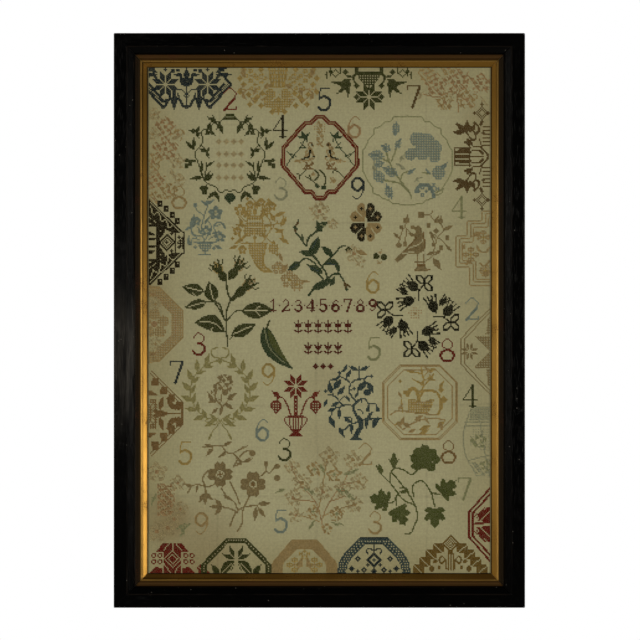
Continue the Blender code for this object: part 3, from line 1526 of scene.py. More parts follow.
# A half octagon of brown-black: solid steps cut by a bare line, small squares outside, a ring inside
DARK_HALF: Parts = (
    *bars(Shade.BROWN, 1.6, ((22, -7), (22, 7)), ((29, -8), (29, 8))),
    *bars(Shade.BROWN, 2.4, ((8, -14), (8, 14))),
    *diamonds(Shade.BROWN, (25, 4, 1), (25, -4, 1)),
    Patch(Shade.BROWN, ((23, 0), (29, 6), (29, -6)), fill=Fill.NET),
    *diamonds(Shade.BROWN, (15, 0, 7), (15, 0, 6), (15, 0, 4), open=True),
    *diamonds(Shade.BROWN, (15, 0, 1), (19, 7, 1), (19, -7, 1)),
    *(
        Placed((0, 0), (
            Patch(Shade.BROWN, ((1, 35), (29, 8), (20, 8), (13, 11), (1, 21))),
            *bars(
                None, 1, ((2, 32), (27, 8)),
                ((2, 29), (4, 22), (9, 25), (10, 17), (15, 19), (16, 11), (20, 14)),
            ),
            *bars(Shade.BROWN, 1.6, ((0, 14), (8, 14))),
            *bars(Shade.BROWN, 3, ((0, 19), (12, 10))),
            *(
                Patch(Shade.BROWN, ((a - 2, b + 3), (a + 2, b + 3), (a + 2, b - 2), (a - 2, b - 2)))
                for a, b in ((10, 31), (15, 27), (20, 22), (24, 17))
            ),
            *diamonds(None, (10, 31, 0), (15, 27, 0), (20, 22, 0), (24, 17, 0)),
            *leaves(Shade.BROWN, 0.5, (0, 8, -20, 6), (0, 3, 0, 6)),
            Patch(Shade.BROWN, ((10, 9), (14, 9), (10, 4))),
        ), turn=turn, flip=flip)
        for turn, flip in ((0, False), (180, True))
    ),
)

# Stepped lines round a few small flowers, in worn tan
STEPPED_HALF: Parts = (
    *bars(Shade.SAND, 1, *(
        ((2, 28 - a), (-6 + a, 28 - a), (-6 + a, 20 - a), (-18 + a, 20 - a), (-18 + a, 8 - a),
         (-27 + a, 8 - a),
         (-27 + a, a - 17), (-16 + a, a - 17), (-16 + a, a - 32), (2, a - 32))
        for a in (0.0, 2.5, 5.0)
    )),
    *rosettes(Shade.SAND, Shade.GOLD, (-15, -7, 7), (-3, -20, 6), (-5, 7, 6), lobes=4, fill=Fill.NET),
    *stems(Shade.SAND, 1.6, ((-10, 0), (-8, -4), (-3, -5), (0, -1)), ((-8, -14), (-4, -16), (0, -12))),
    *leaves(Shade.SAND, 0.5, (-19, -15, 40, 5), (-14, 8, 20, 8), (-22, -3, 60, 5), (-6, -24, 30, 7)),
)

# A half octagon of close, very pale patterning
PALE_HALF: Parts = (
    Patch(Shade.SAND, ((-2, 31), (10, 30), (29, 11), (29, -11), (10, -30), (-2, -31)), fill=Fill.NET),
    Patch(None, ((-2, 22), (7, 21), (20, 8), (20, -8), (7, -21), (-2, -22))),
    *bars(Shade.SAND, 1, ((-2, 31), (10, 30), (29, 11), (29, -11), (10, -30), (-2, -31))),
    *rosettes(Shade.SAND, Shade.BLUSH, (6, 0, 13), fill=Fill.NET),
    *rosettes(Shade.CREAM, Shade.SAND, (7, 16, 6), (7, -16, 6), fill=Fill.WORN),
    *bars(Shade.BLUSH, 1, ((0, 25), (7, 24), (23, 8), (23, -8), (7, -24), (0, -25))),
)

# A half octagon with solid blocks along its slopes and a spear-leafed flower, pinkish brown
ROSEWOOD_HALF: Parts = (
    *bars(Shade.ROSEWOOD, 2, ((28, -9), (28, 9))),
    *bars(Shade.ROSEWOOD, 1, ((12, 0), (28, 0))),
    Leaf(Shade.ROSEWOOD, (2, 0), 0, 16, 6),
    Patch(Shade.ROSEWOOD, ((0, 12), (7, 12), (9, 0), (7, -12), (0, -12)), fill=Fill.NET),
    *diamonds(None, (4, 0, 1), (4, 6, 1), (4, -6, 1)),
    *(
        Placed((0, 0), (
            *bars(Shade.ROSEWOOD, 1, ((28, 9), (3, 34)), ((26, 8), (2, 32))),
            *(
                Patch(Shade.ROSEWOOD, ((a, 33 - a), (a + 5, 33 - a), (a + 5, 26 - a), (a - 1, 27 - a)))
                for a in (4, 11, 17, 23)
            ),
            *leaves(Shade.ROSEWOOD, 0.4, (22, 3, 126, 11), (10, 3, 78, 11)),
            Diamond(Shade.ROSEWOOD, (25, 4), 2, open=True),
            Patch(Shade.ROSEWOOD, ((0, 19), (3, 19), (8, 15), (0, 15))),
            *bars(None, 1, ((1, 11), (4, 3))),
        ), turn=turn, flip=flip)
        for turn, flip in ((0, False), (180, True))
    ),
)

# A half octagon of a thin double line, with a small star and a bold cross, in taupe
TAUPE_HALF: Parts = (
    Star(Shade.TAUPE, (-18, 0), 6, 2),
    *(
        Placed((0, 0), (
            *bars(Shade.TAUPE, 1, ((-2, 34), (-25, 10), (-25, 0)), ((-2, 31), (-22.5, 9), (-22.5, 0))),
            Patch(Shade.TAUPE, ((-14, 13), (2, 13), (2, 0), (-2, 0)), fill=Fill.NET),
            Patch(Shade.TAUPE, ((-3, 27), (2, 32), (2, 14), (-5, 14)), fill=Fill.NET),
        ), turn=turn, flip=flip)
        for turn, flip in ((0, False), (180, True))
    ),
)

# A half roundel in a grey green so pale that it hardly shows
MIST_HALF: Parts = (
    *stems(Shade.MIST, 1, ((-15, 28), (-21, 10), (-22, 0), (-20, -12), (-13, -26))),
    *bars(
        Shade.MIST, 1, ((-21, 12), (2, 12)), ((-21, 15), (2, 15)), ((-10, 24), (-2, -26)),
        ((-18, -16), (-2, -12)),
    ),
    Patch(Shade.MIST, ((-15, 28), (0, 28), (0, 17), (-17, 17)), fill=Fill.NET),
    Patch(Shade.MIST, ((-14, 10), (2, 10), (2, -10), (-8, -8), (-18, -2)), fill=Fill.SPARSE),
    Patch(Shade.MIST, ((-16, -18), (0, -14), (0, -28), (-12, -28)), fill=Fill.WORN),
    *rosettes(Shade.SAGE, None, (-10, 0, 7), (-4, -20, 5), fill=Fill.WORN),
)

# A worn block with pale blossoms round it, low on the left edge
BLUSH_LOW: Parts = (
    Patch(Shade.ROSEWOOD, ((-128, -133), (-119, -133), (-118, -155), (-128, -155)), fill=Fill.SPARSE),
    Patch(Shade.BLUSH, ((-131, -131), (-117, -131), (-116, -157), (-130, -157)), fill=Fill.WORN),
    *rosettes(Shade.CREAM, Shade.BLUSH, (-114, -131, 7), (-112, -152, 7), (-117, -160, 6), fill=Fill.WORN),
    *rosettes(Shade.CREAM, Shade.BLUSH, (-131, -122, 9), (-131, -170, 9), (-122, -167, 8), fill=Fill.WORN),
    *leaves(
        Shade.SAGE, 0.4, (-115, -168, 20, 12), (-112, -174, 60, 9), (-132, -140, 250, 10),
        fill=Fill.WORN,
    ),
)

# A half octagon of two red lines round a solid flower cut by bare lines
RED_SIDE: Parts = (
    *(
        Placed((0, 0), (
            *bars(Shade.RED, 1.6, ((2, 31), (-16.5, 10), (-16.5, 0)), ((2, 26), (-13.5, 9), (-13.5, 0))),
            Patch(Shade.RED, ((-12, 1), (-8, 5), (-8, 10), (-4, 14), (2, 14), (2, 1))),
            *bars(None, 1, ((-8, 2), (0, 10)), ((-11, 2), (-6, 2)), ((-4, 12), (-2, 14))),
            *bars(Shade.RED, 1, ((-13, 5), (-10, 8), (-8, 8), (-10, 5))),
        ), turn=turn, flip=flip)
        for turn, flip in ((0, False), (180, True))
    ),
    *bars(Shade.RED, 1, ((-13, 0), (-5, 0))),
)

# A half medallion at the foot: cut wedges, a diamond and small squares, in red
RED_FOOT: Parts = (
    Patch(
        Shade.RED,
        ((-13, -186), (-7, -179), (7, -179), (13, -186), (7, -187), (7, -203), (-7, -203), (-7, -187)),
    ),
    *bars(None, 1, ((0, -179), (0, -186)), ((-7, -192), (0, -185), (7, -192), (0, -199), (-7, -192))),
    *bars(None, 1, ((-4, -192), (0, -188), (4, -192), (0, -196), (-4, -192)), ((7, -185), (3, -180))),
    *bars(None, 1, ((7, -196), (2, -203)), ((-7, -196), (-2, -203)), ((-7, -185), (-3, -180))),
    Both((
        *bars(Shade.RED, 1, *(
            ((a, b), (a + 3, b), (a + 3, b - 3), (a, b - 3), (a, b)) for a in (9, 14) for b in (-188, -193)
        )),
        Patch(Shade.RED, ((8, -203), (8, -200), (13, -198), (18, -203))),
        Patch(Shade.RED, ((20, -198), (23, -196), (30, -203), (21, -203))),
        *bars(None, 1, ((20, -198), (25, -203))),
    )),
)

# A half octagon with a bare line in its broad border and a fan of leaves inside
GREEN_FOOT: Parts = (
    *bars(
        Shade.GREEN, 4,
        ((-26, -204), (-26, -197), (-7.5, -177.5), (7.5, -177.5), (26, -197), (26, -204)),
    ),
    Stem(
        None, ((-26, -204), (-26, -197), (-7.5, -177.5), (7.5, -177.5), (26, -197), (26, -204)), 1, 1,
        straight=True,
    ),
    Both((
        Leaf(Shade.GREEN, (1.6, -190), 64, 9, 3.4),
        Leaf(Shade.GREEN, (2, -191.6), 20, 10, 3.6),
        Leaf(Shade.GREEN, (2, -194), -42, 15, 8),
        *bars(None, 1, ((4, -196), (12, -204)), ((2, -196), (7, -205))),
        Leaf(Shade.GREEN, (14, -204), 50, 9, 5),
        *bars(Shade.GREEN, 1, ((14, -204), (20, -197))),
    )),
)

# A half octagon with a broad border of worn gold round a pale flower
GOLD_FOOT: Parts = (
    Patch(Shade.SAND, ((-27, -204), (-26, -195), (-10, -176), (10, -176), (26, -195), (27, -204))),
    Patch(None, ((-18, -205), (-17, -196), (-6, -184), (6, -184), (17, -196), (18, -205))),
    *rosettes(Shade.GOLD, Shade.SAND, (0, -189, 5), fill=Fill.NET),
    Both((
        *rosettes(Shade.GOLD, Shade.SAND, (8, -197, 7), lobes=4, fill=Fill.NET),
        *leaves(Shade.SAND, 0.4, (2, -192, -70, 9)),
    )),
)

# A half roundel in two blues: a border cut by bare lines, open diamonds and small ones inside
BLUE_FOOT: Parts = (
    *bars(Shade.BLUE, 4, ((-11, -177.5), (11, -177.5))),
    Stem(None, ((-11, -178), (11, -178)), 1, 1, straight=True),
    *bars(Shade.NAVY, 1, ((-11, -175), (11, -175)), ((-9, -180), (9, -180))),
    *bars(Shade.NAVY, 1, ((0, -180), (0, -187))),
    *diamonds(Shade.NAVY, (0, -193, 6), (0, -193, 5), (0, -193, 4), open=True),
    Diamond(Shade.BLUE, (0, -193), 1),
    Both((
        *bars(Shade.BLUE, 7, ((26, -204), (25, -196), (20, -188), (10, -179))),
        *(
            Stem(
                None, ((26 + a, -204), (25 + a, -196), (20 + a, -188), (10 + a, -178.5)), 1, 1,
                straight=True,
            )
            for a in (-2.5, 0, 2)
        ),
        *diamonds(Shade.NAVY, (13, -192, 2), (18, -200, 2), (8, -201, 2)),
        *diamonds(None, (13, -192, 0), (8, -201, 0)),
        *stems(Shade.NAVY, 1.2, ((0, -186), (3, -184), (6, -185), (5, -188))),
        *diamonds(Shade.NAVY, (5, -197, 1), (13, -202, 1)),
    )),
    *diamonds(Shade.NAVY, (0, -202, 2)),
)

# A half medallion of stepped blocks cut like fans round two small scrolls, in old gold
OCHRE_FOOT: Parts = (
    *diamonds(Shade.OCHRE, *((0, -180, reach) for reach in (2, 4, 6, 7)), open=True),
    *spots(Shade.OCHRE, (0, -187, 2)),
    *bars(Shade.OCHRE, 1, *(((a, -188), (a, -201)) for a in (-2, 0, 2))),
    Both((
        *(
            Placed(spot, (
                Patch(Shade.OCHRE, ((-4, 4), (3, 4), (5, 2), (5, -4), (-2, -5), (-4, -3))),
                *bars(None, 1, ((5, 3), (-3, -4))),
            ))
            for spot in ((9, -183), (15, -188), (20, -194), (25, -200))
        ),
        *stems(Shade.OCHRE, 1.2, ((3, -200), (4, -193), (7, -190), (9, -193), (7, -196), (5, -194))),
        *spots(Shade.OCHRE, (12, -194, 1.8), (9, -199, 1.4), (15, -200, 2.4)),
    )),
)


# Motifs of the field

# A wreath of one wavy stem, with trefoils, twigs and a berry at its foot
WREATH: Parts = (
    Patch(Shade.GREEN, ((-5.5, 162), (-3, 166.5), (3, 166.5), (5.5, 162))),
    *bars(Shade.SAGE, 1, ((-3, 164), (3, 164))),
    Disc(Shade.TEAL, (0, 99), 4.4, 0.85),
    Leaf(Shade.TEAL, (0, 101), -90, 7, 5.5),
    Both((
        *stems(Shade.GREEN, 1, (
            (4, 164), (8, 160), (12, 160), (18, 154), (21, 154), (23, 150), (22, 145), (24, 140),
            (28, 136), (28, 131),
            (26, 128), (24, 122), (21, 113), (17, 109.5), (12, 108), (9, 104), (6, 103), (4, 105), (0, 104),
        )),
        *leaves(Shade.GREEN, 0.42, (12, 161, 22, 7), (12, 160, 70, 5), (9, 159, -112, 9), (8, 159, -62, 6)),
        *leaves(Shade.GREEN, 0.36, (10, 158, 30, 5), (18, 154, 112, 7), (29, 139, 88, 8), (29, 138, 42, 9)),
        *leaves(
            Shade.GREEN, 0.6, (16, 152, 96, 5), (16, 152, 216, 5), (16, 152, -24, 5), (27, 152, 120, 5),
            (27, 152, 10, 6),
        ),
        *leaves(
            Shade.GREEN, 0.6, (27, 152, 250, 5), (19, 136, 20, 6), (19, 136, 130, 4), (19, 136, 250, 5),
        ),
        *bars(Shade.GREEN, 1, ((20, 154), (16, 152)), ((23, 150), (27, 152)), ((23, 141), (19, 136))),
        *stems(Shade.GREEN, 1.4, ((28, 128.5), (35, 128.5)), ((24, 122), (22, 116), (20, 112))),
        *spots(Shade.GREEN, (34.5, 129, 1.8), (32, 126, 1.8), (35, 124.6, 1.9)),
        *stems(Shade.GREEN, 1, ((20, 112), (19.6, 120), (19, 127)), ((20, 112), (23, 121), (22.5, 125))),
        *leaves(
            Shade.GREEN, 0.34, (23, 119, 92, 9), (19, 124, 148, 7), (20, 112, 138, 9),
            (22, 115, -4, 10),
        ),
        *leaves(Shade.GREEN, 0.3, (20, 113, 118, 8)),
        *stems(Shade.GREEN, 1, ((18, 110), (21, 108))),
        *spots(Shade.GREEN, (22.6, 106.6, 1.9), (19.4, 106.4, 1.9), (20.6, 103.4, 2.2)),
        *leaves(Shade.GREEN, 0.34, (12, 104, -46, 9), (12, 104, -112, 9)),
    )),
)

# A tall octagon of two red lines with pink between, stepped at its head and foot
RING_CORNERS = (
    (0, 164), (3, 164), (7, 159), (12, 159), (29.5, 139), (30, 125), (12, 103.5), (7, 103.5), (3, 98.5),
    (0, 98.5),
)
RED_RING: Parts = (Both((*bars(Shade.RED, 3.4, RING_CORNERS), *bars(Shade.BLUSH, 1, RING_CORNERS))),)

# Two small birds that face each other below a faded tree, with twigs beside them and tendrils below
RING_BIRDS: Parts = (
    Patch(Shade.SAND, ((-2, 161), (2, 161), (3, 140), (-3, 140)), fill=Fill.WORN),
    Disc(Shade.SAND, (0, 155), 5, fill=Fill.SPARSE),
    Both((
        Disc(Shade.ROSEWOOD, (7.5, 141), 2.6, fill=Fill.WORN),
        Patch(Shade.SAND, ((5, 140), (10, 141), (13, 131), (8, 126), (4, 130)), fill=Fill.WORN),
        Leaf(Shade.SAND, (11, 129), -4, 10, 3.6, fill=Fill.WORN),
        Patch(Shade.ROSEWOOD, ((5, 128), (12, 128), (13, 122), (6, 122)), fill=Fill.WORN),
        *bars(Shade.ROSEWOOD, 1.4, ((6, 122), (13, 122))),
        *stems(Shade.JET, 1.4, ((8, 137), (9, 132), (14, 130))),
        *spots(Shade.JET, (6.5, 141.5, 0.9), (5, 132, 0.9)),
        *stems(Shade.TEAL, 1, ((27, 125), (22, 132), (15, 141), (12, 148))),
        *bars(
            Shade.TEAL, 1, ((27, 136), (22, 131)), ((20, 132), (24, 134)), ((17, 139), (12, 139)),
            ((16, 143), (13, 140)),
        ),
        *leaves(Shade.TEAL, 0.4, (12, 146, 70, 7), (12, 147, 130, 5), (13, 147, 10, 5), (11, 147, -100, 3)),
    )),
    *stems(
        Shade.GREEN, 1, ((-12, 121), (-16, 117), (-17, 114)), ((-16, 117), (-19, 118)),
        ((-12, 116), (-7, 113), (-2, 109)),
    ),
    *stems(Shade.GREEN, 1.2, ((-4, 121), (-1, 117), (-4, 113)), ((0, 121), (4, 116), (4, 110), (3, 107))),
    *stems(Shade.GREEN, 1, ((10, 119), (13, 121), (19, 115)), ((-9, 117), (-7, 113))),
    *spots(Shade.TEAL, (-2, 108.5, 1.6), (3, 107, 1.9)),
    *spots(Shade.SAND, (10, 113, 3), (-6, 117, 2.4), fill=Fill.WORN),
)

# A thin stepped ring round a spray with one broad bloom, in grey blues
SKY_RING: Parts = (
    Both(bars(Shade.SAGE, 1, (
        (0, 164.5), (4, 164), (12, 163.5), (13, 160), (19, 160), (21, 156), (27, 155), (27, 150),
        (31, 146), (33, 141),
        (36, 136), (36, 121), (35, 118), (32, 112), (28, 106), (28, 102), (22, 101), (21, 98), (14, 97),
        (12, 94), (0, 93),
    ))),
    *stems(
        Shade.SAGE, 1.4, ((3, 98), (2, 102), (-6, 110), (-20, 113)),
        ((1, 104), (-9, 117), (-15, 128), (-18, 140)),
    ),
    *stems(
        Shade.SAGE, 1.2, ((-9, 117), (-17, 121)), ((-6, 112), (-4, 118), (1, 120)),
        ((-13, 128), (-9, 138)),
    ),
    *stems(Shade.SAGE, 1.2, ((18, 118), (12, 119)), ((23, 103), (29, 106)), ((-14, 127), (-22, 131))),
    *spots(
        Shade.SKY, (8, 146, 6), (15, 144, 7), (21, 139, 6.6), (22, 132, 5), (12, 136, 7), (3, 134, 5),
        fill=Fill.NET,
    ),
    Patch(None, ((-6, 146), (0, 146), (2, 140), (-3, 138)), smooth=True),
    Patch(None, ((7, 130), (19, 130), (16, 125), (8, 125))),
    *leaves(
        Shade.SKY, 0.7, (-19, 132, 172, 13), (-19, 127, 196, 10), (-20, 111, 122, 13),
        (-14, 137, 150, 9), fill=Fill.NET,
    ),
    *leaves(
        Shade.SKY, 0.56, (-13, 98, 108, 13), (-10, 149, 84, 12), (-10, 138, 62, 10), (-8, 117, 152, 14),
        fill=Fill.NET,
    ),
    *leaves(
        Shade.MIST, 0.5, (-6, 128, 60, 9), (-2, 122, 150, 8), (6, 112, 30, 7), (-26, 120, 100, 8),
        fill=Fill.WORN,
    ),
    *leaves(Shade.SKY, 0.44, (0, 118, 34, 7), (27, 121, 52, 8), (18, 118, 130, 5)),
    Disc(Shade.SKY, (25, 119), 5.6, fill=Fill.NET),
    *stems(Shade.SKY, 3, ((7, 104), (10, 108.5), (17, 108.5), (20, 104), (21, 100))),
    *rosettes(Shade.SKY, None, (12, 104, 5), (21, 106, 5), lobes=4, fill=Fill.NET),
)

# A small footed pot with stems of grey blue flowers
FLOWER_POT: Parts = (
    Patch(Shade.SKY, ((-99, 64), (-85, 64), (-87, 59), (-90, 56), (-94, 56), (-97, 59)), fill=Fill.NET),
    *bars(Shade.SKY, 1.6, ((-97, 53), (-88, 53)), ((-92, 56), (-92, 54)), ((-101, 63), (-83, 63))),
    *stems(Shade.SKY, 1, ((-93, 64), (-95, 74), (-93, 84), (-90, 92)), ((-93, 84), (-98, 88), (-100, 92))),
    *stems(Shade.SKY, 1, ((-92, 65), (-87, 74), (-90, 82), (-85, 86)), ((-95, 68), (-101, 69), (-104, 76))),
    *stems(Shade.SKY, 1, ((-89, 65), (-83, 70), (-85, 75), (-80, 77)), ((-97, 65), (-102, 66), (-104, 62))),
    *rosettes(Shade.SKY, Shade.MIST, (-83.5, 86.5, 6), (-91, 72, 4.6), (-80, 67, 4.6), (-99, 80, 4)),
    *stems(Shade.SKY, 1.6, ((-85, 76), (-82, 79), (-78, 78), (-76, 74))),
    *leaves(
        Shade.SKY, 0.36, (-103, 74, 78, 12), (-103, 75, 200, 6), (-90, 94, 30, 6), (-90, 93, 150, 6),
        (-99, 67, 140, 6),
    ),
    *leaves(
        Shade.SKY, 0.4, (-92, 78, 60, 6), (-86, 70, 20, 5), (-96, 70, 110, 5), (-106, 62, 80, 6),
        (-84, 60, -20, 6),
    ),
    *spots(Shade.SKY, (-100, 93, 1.9), (-104, 62, 1.7), (-90, 95, 1.5), (-85, 58, 1.1), (-100, 59, 1.1)),
)

# A curved horn with fruit and flowers, in worn golds
HORN: Parts = (
    Patch(
        Shade.GOLD,
        ((-58, 62), (-43, 62), (-45, 50), (-44, 44), (-40, 40), (-46, 40), (-52, 46), (-56, 54)),
        fill=Fill.NET,
    ),
    *bars(Shade.GOLD, 1.6, ((-59, 62), (-42, 62))),
    *stems(
        Shade.GOLD, 1.2, ((-52, 46), (-46, 40), (-38, 39)),
        ((-43, 61), (-45, 50), (-44, 44), (-39, 40)),
    ),
    *spots(
        Shade.GOLD, (-52, 77, 8), (-57, 72, 4.4), (-47, 72, 4.4), (-43, 88, 4), (-58, 86, 4),
        fill=Fill.NET,
    ),
    *bars(None, 1, *(((-57, row), (-47, row)) for row in (75, 80))),
    *leaves(
        Shade.GOLD, 0.36, (-52, 84, 90, 8), (-48, 82, 56, 9), (-56, 82, 124, 9), (-45, 76, 8, 8),
        (-59, 76, 172, 8),
    ),
    *leaves(Shade.GOLD, 0.36, (-47, 70, -36, 7), (-57, 70, 216, 7), (-52, 69, -90, 6)),
    *spots(Shade.GOLD, (-37, 58, 4.4), fill=Fill.NET),
    *diamonds(
        Shade.GOLD, (-37, 63, 1), (-34, 53, 1), (-68, 70, 1), (-70, 66, 1), (-58, 98, 1), (-41, 97, 1),
    ),
    *stems(
        Shade.GOLD, 1, ((-46, 63), (-40, 72), (-39, 79), (-44, 87), (-46, 92)), ((-40, 72), (-34, 80)),
        ((-42, 66), (-37, 62)),
    ),
    *stems(
        Shade.GOLD, 1, ((-58, 63), (-63, 62), (-64, 68)), ((-60, 80), (-64, 84)),
        ((-70, 75), (-62, 64)),
    ),
    *stems(
        Shade.GOLD, 1.4, ((-29, 84), (-30, 79), (-34, 78)),
        ((-36, 74), (-31, 72), (-29, 66), (-26, 64)),
    ),
    *leaves(
        Shade.GOLD, 0.4, (-36, 80, 120, 8), (-31, 76, 60, 9), (-35, 71, 20, 7), (-50, 90, 110, 8),
        (-44, 92, 40, 7),
    ),
    *leaves(
        Shade.GOLD, 0.36, (-32, 66, -30, 8), (-36, 84, 20, 9), (-62, 76, 110, 8), (-68, 62, 30, 8),
        (-66, 60, 200, 7),
    ),
    *rosettes(
        Shade.GOLD, Shade.SAND, (-47, 95, 4), (-38, 92, 4), (-66, 72, 4), (-64, 89, 5), (-56, 93, 4),
        (-62, 57, 4),
    ),
)

# A climbing spray in dark teal, with broad leaves, a trumpet flower and buds
BINDWEED: Parts = (
    *stems(
        Shade.TEAL, 1.6, ((-9, 20), (-3, 26), (6, 32), (5, 39), (2, 43), (-3, 50), (-8, 54)),
        ((-10, 60), (-9, 66), (-2, 72)),
    ),
    *stems(
        Shade.TEAL, 1.4, ((-11, 60), (-15, 66), (-19, 71)), ((3, 33), (-1, 38), (2, 43)),
        ((2, 44), (8, 49), (17, 59), (21, 60)),
    ),
    *stems(
        Shade.TEAL, 1.4, ((-17, 46), (-11, 50), (-5, 47), (2, 39)),
        ((7, 33), (11, 37), (16, 37), (20, 31)),
    ),
    Leaf(Shade.TEAL, (-8, 54), 62, 16, 7.4, curl=-1.5),
    Leaf(Shade.TEAL, (-2, 55), 178, 15, 5.4, curl=1.0),
    Leaf(Shade.TEAL, (-15, 47), 214, 13, 6.2),
    Leaf(Shade.TEAL, (2, 38), 150, 14, 5.2),
    Leaf(Shade.TEAL, (11, 52), 140, 12, 5.4),
    Leaf(Shade.TEAL, (4, 45), 4, 12, 5.0, curl=2.0),
    Leaf(Shade.TEAL, (14, 47), -80, 9, 3.4),
    Leaf(Shade.TEAL, (-6, 25), 26, 20, 6.4),
    Leaf(Shade.TEAL, (12, 35), -110, 8, 4.0),
    *bars(
        Shade.BLUE, 1, ((-6, 58), (-2, 66)), ((-24, 41), (-18, 45)), ((-8, 43), (-1, 40)),
        ((6, 46), (13, 45)),
    ),
    Disc(Shade.GREEN, (23.5, 57), 2.8, 0.8),
    Leaf(Shade.TEAL, (-13, 64), 100, 5, 2.4),
    *leaves(Shade.UMBER, 0.4, (-19, 71, 100, 5), (-19, 76, 60, 5), (20, 31, -70, 7), (21, 30, -40, 5)),
    *spots(Shade.TEAL, (-18, 74, 1.0), (-17, 80.5, 1.0), (-20, 75, 1.2), (22, 25, 1.1)),
    Patch(
        Shade.TEAL,
        ((-3, 81), (0, 79), (8, 79.5), (5, 76.5), (3, 75), (2, 72), (-2, 72), (-3, 75), (-2, 78)),
        smooth=True,
    ),
    *bars(Shade.SAGE, 1, ((1, 77), (5, 76))),
    *rosettes(Shade.CREAM, Shade.BLUSH, (0, 88, 9), (28, 54, 8), (33, 47, 5), (11, 78, 5), fill=Fill.WORN),
    *rosettes(Shade.SAND, Shade.GOLD, (-24, 33, 8), (-33, 42, 6), (-18, 29, 6), fill=Fill.NET),
    *leaves(Shade.SAND, 0.4, (-30, 38, 60, 9), (30, 56, -20, 9), (-14, 32, -10, 6), (-30, 48, 110, 7)),
)

# Four hearts point to point, two dark and two pale, with a small cross in every lobe
HEART_LOBES = (
    (0.6, 1.5), (0.6, 12), (2, 15), (5, 15), (7, 12.5), (7, 9.5), (9, 9), (12, 7), (12.4, 3), (10, 0.8),
    (1.5, 0.6),
)
BUTTERFLY: Parts = tuple(
    Placed((37.5, 79), (
        Patch(shade, HEART_LOBES, smooth=True),
        *bars(None, 1, ((4, 5), (8, 10))),
        *diamonds(other, (3.4, 11, 1), (9, 4, 1)),
    ), turn=turn, flip=flip)
    for shade, other, turn, flip in (
        (Shade.BROWN, Shade.SAND, 0, False), (Shade.SAND, Shade.BROWN, 0, True),
        (Shade.BROWN, Shade.SAND, 180, False), (Shade.SAND, Shade.BROWN, 180, True),
    )
)

# Two dark green spots between two pale ones
FOUR_SPOTS: Parts = (
    *spots(Shade.GREEN, (45.6, 51.6, 2.6), (52, 51.2, 2.6)),
    *spots(Shade.SAND, (49, 56, 2), (48.5, 47, 2), fill=Fill.WORN),
)

# A bird on a footed urn, with fruiting branches on both sides
URN_BIRD: Parts = (
    Disc(Shade.TAUPE, (79.5, 73.5), 2.6),
    *bars(Shade.TAUPE, 1, ((78, 75), (74, 76))),
    Patch(Shade.TAUPE, ((77.5, 73), (82, 74), (84, 67), (86, 61), (84.5, 56), (79, 53), (72, 54),
                        (63, 46.5), (60.5, 49),
                        (69, 58), (76, 65))),
    *bars(Shade.ROSEWOOD, 1, ((72, 60), (79, 68)), ((84, 71), (85, 59)), ((68, 55), (74, 61))),
    *bars(None, 1, ((72, 58), (80, 61), (83, 65)), ((67, 54), (76, 55))),
    *bars(Shade.TAUPE, 1.4, ((79, 53), (79, 46)), ((84, 53), (84, 46))),
    *bars(Shade.ROSEWOOD, 1.6, ((77, 47), (85, 47)), ((79, 44.5), (85, 44.5)), ((77, 41), (89, 41))),
    Patch(Shade.TAUPE, ((79, 44), (85, 44), (88, 40), (77, 40))),
    *stems(
        Shade.TAUPE, 1,
        ((85, 47), (91, 52), (93, 60), (95, 67), (100, 73), (97, 78), (92, 80), (89, 85), (84, 85)),
    ),
    *stems(
        Shade.TAUPE, 1, ((95, 67), (99, 64), (103, 59)), ((92, 54), (97, 56)), ((100, 73), (105, 75)),
        ((93, 62), (90, 68)),
    ),
    *stems(
        Shade.TAUPE, 1, ((80, 67), (74, 70), (69, 75), (70, 79)), ((69, 75), (66, 70), (64, 62)),
        ((70, 73), (69, 62)),
    ),
    *stems(Shade.TAUPE, 1, ((97, 78), (98, 84)), ((89, 85), (91, 88)), ((95, 67), (89, 71))),
    *spots(
        Shade.TAUPE, (82, 85, 2.9), (97.5, 80, 2.4), (88, 76.5, 1.9), (94, 72, 2.2), (103, 66.5, 2),
        (98, 58.5, 2),
    ),
    *spots(
        Shade.TAUPE, (70, 80.5, 2.6), (66, 75, 1.5), (64, 60.5, 2.1), (69, 61.5, 2.0), (75, 74.5, 1.3),
        (92, 61, 1.5),
    ),
    *leaves(
        Shade.TAUPE, 0.44, (89, 71, -50, 7), (101, 73, 30, 7), (92, 50, -58, 11), (102, 60, -40, 6),
        (93, 53, 40, 7),
    ),
    *leaves(
        Shade.TAUPE, 0.44, (71, 81, 92, 4), (60, 70, -40, 6), (76, 68, 150, 5), (87, 53, 20, 6),
        (93, 79, 60, 6),
    ),
)

